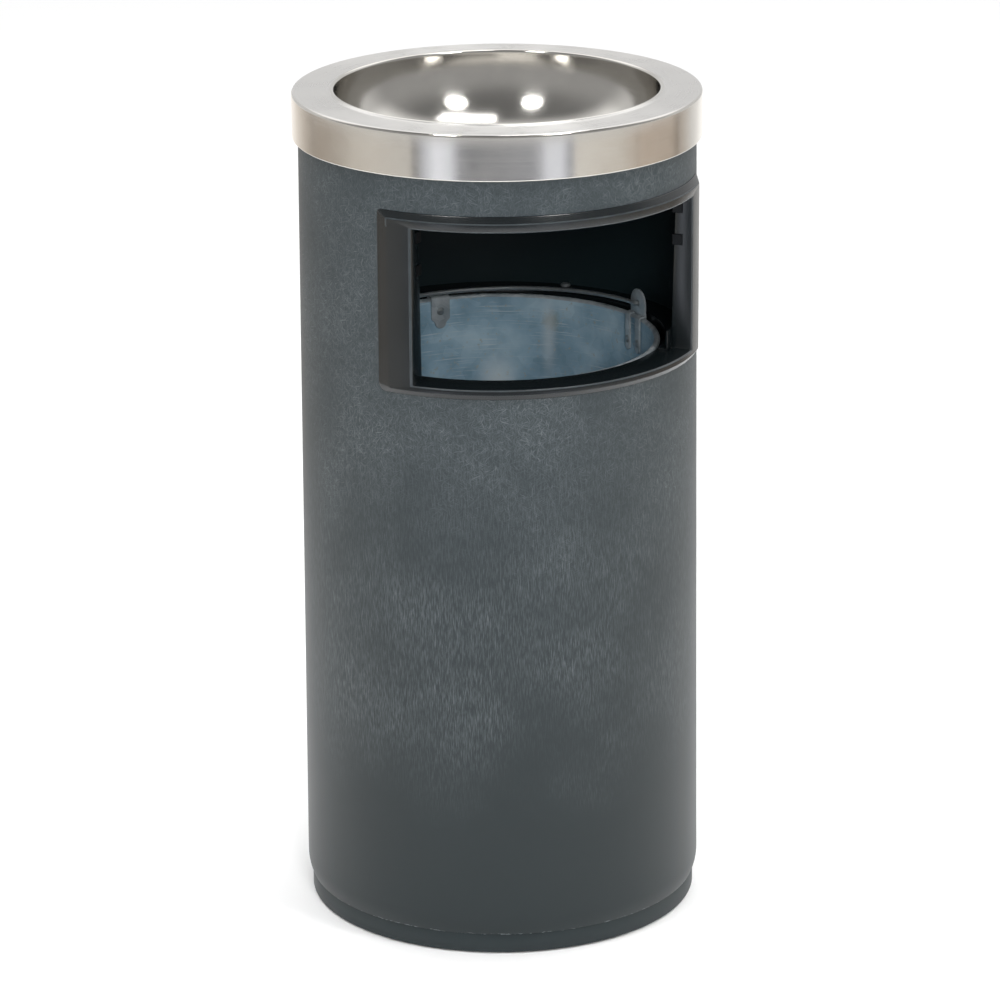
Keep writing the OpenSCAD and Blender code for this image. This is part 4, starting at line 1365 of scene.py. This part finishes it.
# ---- Ashtray ----------------------------------------------------------------
# One stainless pressing that sits over the top of the body: a hemmed skirt, a flat satin rim, a small rolled
# mouth and a round bowl. The skirt and the bowl are polished, with faint spinning lines.
tray_low, tray_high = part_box("ashtray")
mouth_top = tray_high.z / mm
flat_z = mouth_top - 1.5
ash_r = tray_high.x / mm
skirt_z = flat_z - 33.6
STEEL_T = 0.9
EDGE_R = 2.2
MOUTH_R = 118.0
ROLL_R = 2.1
HEM_R = 1.2
CURVE_R = 55.0
bowl_floor_z = tray_low.z / mm + STEEL_T
roll_at = MOUTH_R + ROLL_R
roll_z = flat_z - 0.6


def steel_finish(name, tones, roughness, line_depth, cloud):
    """Stainless steel with spinning lines 0.8 mm apart: the tones and roughness set satin or polish."""
    made, tree, shader, spot = start_material(
        name, {"Metallic": 1.0, "Anisotropic": 0.8, "Anisotropic Rotation": 0.25}
    )
    feed(shader, {"Tangent": add_node(tree, "ShaderNodeTangent", direction_type="RADIAL", axis="Z")})
    axes = add_node(tree, "ShaderNodeSeparateXYZ", {"Vector": spot}).outputs
    flat = add_node(tree, "ShaderNodeCombineXYZ", {"X": axes["X"], "Y": axes["Y"]})
    reach = add_node(tree, "ShaderNodeVectorMath", {0: flat}, operation="LENGTH")
    ring = add_node(tree, "ShaderNodeMath", {0: axes["Z"], 1: reach}, operation="ADD")
    slow = add_node(tree, "ShaderNodeVectorMath", {0: flat, "Scale": 12.0}, operation="SCALE")
    fine = add_node(tree, "ShaderNodeMath", {0: ring, 1: 1 / (0.8 * mm)}, operation="MULTIPLY")
    placed = add_node(tree, "ShaderNodeCombineXYZ", {"Z": fine})
    line_at = add_node(tree, "ShaderNodeVectorMath", {0: placed, 1: slow}, operation="ADD")
    lines = add_node(tree, "ShaderNodeTexNoise", {"Vector": line_at, "Scale": 1.0, "Detail": 3.0})
    clouds = cloudy_tint(tree, shader, spot, 25, 4.0, *tones)
    both = add_node(tree, "ShaderNodeMath", {0: lines, 1: clouds}, operation="ADD")
    sheen = {"Value": both, "From Min": 0.7, "From Max": 1.3}
    sheen |= {"To Min": roughness - cloud, "To Max": roughness + cloud}
    feed(shader, {"Roughness": add_node(tree, "ShaderNodeMapRange", sheen)})
    raise_grain(tree, shader, lines, 0.5, line_depth)
    return made


polished_steel = steel_finish("stainless_polished", ("#c6c3be", "#d5d2cc"), 0.14, 0.003, 0.03)
satin_steel = steel_finish("stainless_satin", ("#cac8c5", "#d8d6d3"), 0.3, 0.01, 0.05)

inner_roll = ROLL_R - STEEL_T
under_r = CURVE_R + STEEL_T
curve_at = MOUTH_R - CURVE_R
curve_z = bowl_floor_z + CURVE_R
tray_section = arc(ash_r - HEM_R, skirt_z + HEM_R, HEM_R, 0, -180, 10)
tray_section += [(ash_r - 2 * HEM_R + 0.1, skirt_z + HEM_R + 0.6), (ash_r - STEEL_T, skirt_z + HEM_R + 1.4)]
tray_section += [(ash_r - STEEL_T, flat_z - EDGE_R)]
tray_section += arc(ash_r - EDGE_R, flat_z - EDGE_R, EDGE_R - STEEL_T, 15, 90, 5)
tray_section += [(roll_at + ROLL_R - 0.9, flat_z - STEEL_T)]
tray_section += arc(roll_at, roll_z, inner_roll, 40, 180, 8)
tray_section += [(MOUTH_R + STEEL_T, curve_z)]
tray_section += arc(curve_at, curve_z, under_r, -4, -90, 22)
tray_section += [(0, bowl_floor_z - STEEL_T), (0, bowl_floor_z)]
tray_section += arc(curve_at, curve_z, CURVE_R, -90, 0, 24)
tray_section += arc(roll_at, roll_z, ROLL_R, 180, 46, 12)
tray_section += [(roll_at + ROLL_R + 0.3, flat_z + 0.12), (roll_at + ROLL_R + 1.5, flat_z)]
tray_section += [(ash_r - EDGE_R - 0.4, flat_z)]
tray_section += arc(ash_r - EDGE_R, flat_z - EDGE_R, EDGE_R, 84, 0, 9)
tray_section += [(ash_r, flat_z - 12), (ash_r, skirt_z + 8), (ash_r, skirt_z + HEM_R + 1.0)]
steel = spin("ashtray_pressing", tray_section, 300, polished_steel, 50)
refinish(steel, [polished_steel, satin_steel])
for face in steel.polygons:
    reach = face.center.xy.length / mm
    on_rim = face.center.z / mm > flat_z - 0.3 and roll_at + 1.2 < reach < ash_r - 0.8
    face.material_index = 1 if on_rim else 0
ashtray = link_mesh("ashtray_pressing", steel)
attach(ashtray, "ashtray")
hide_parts("ashtray")
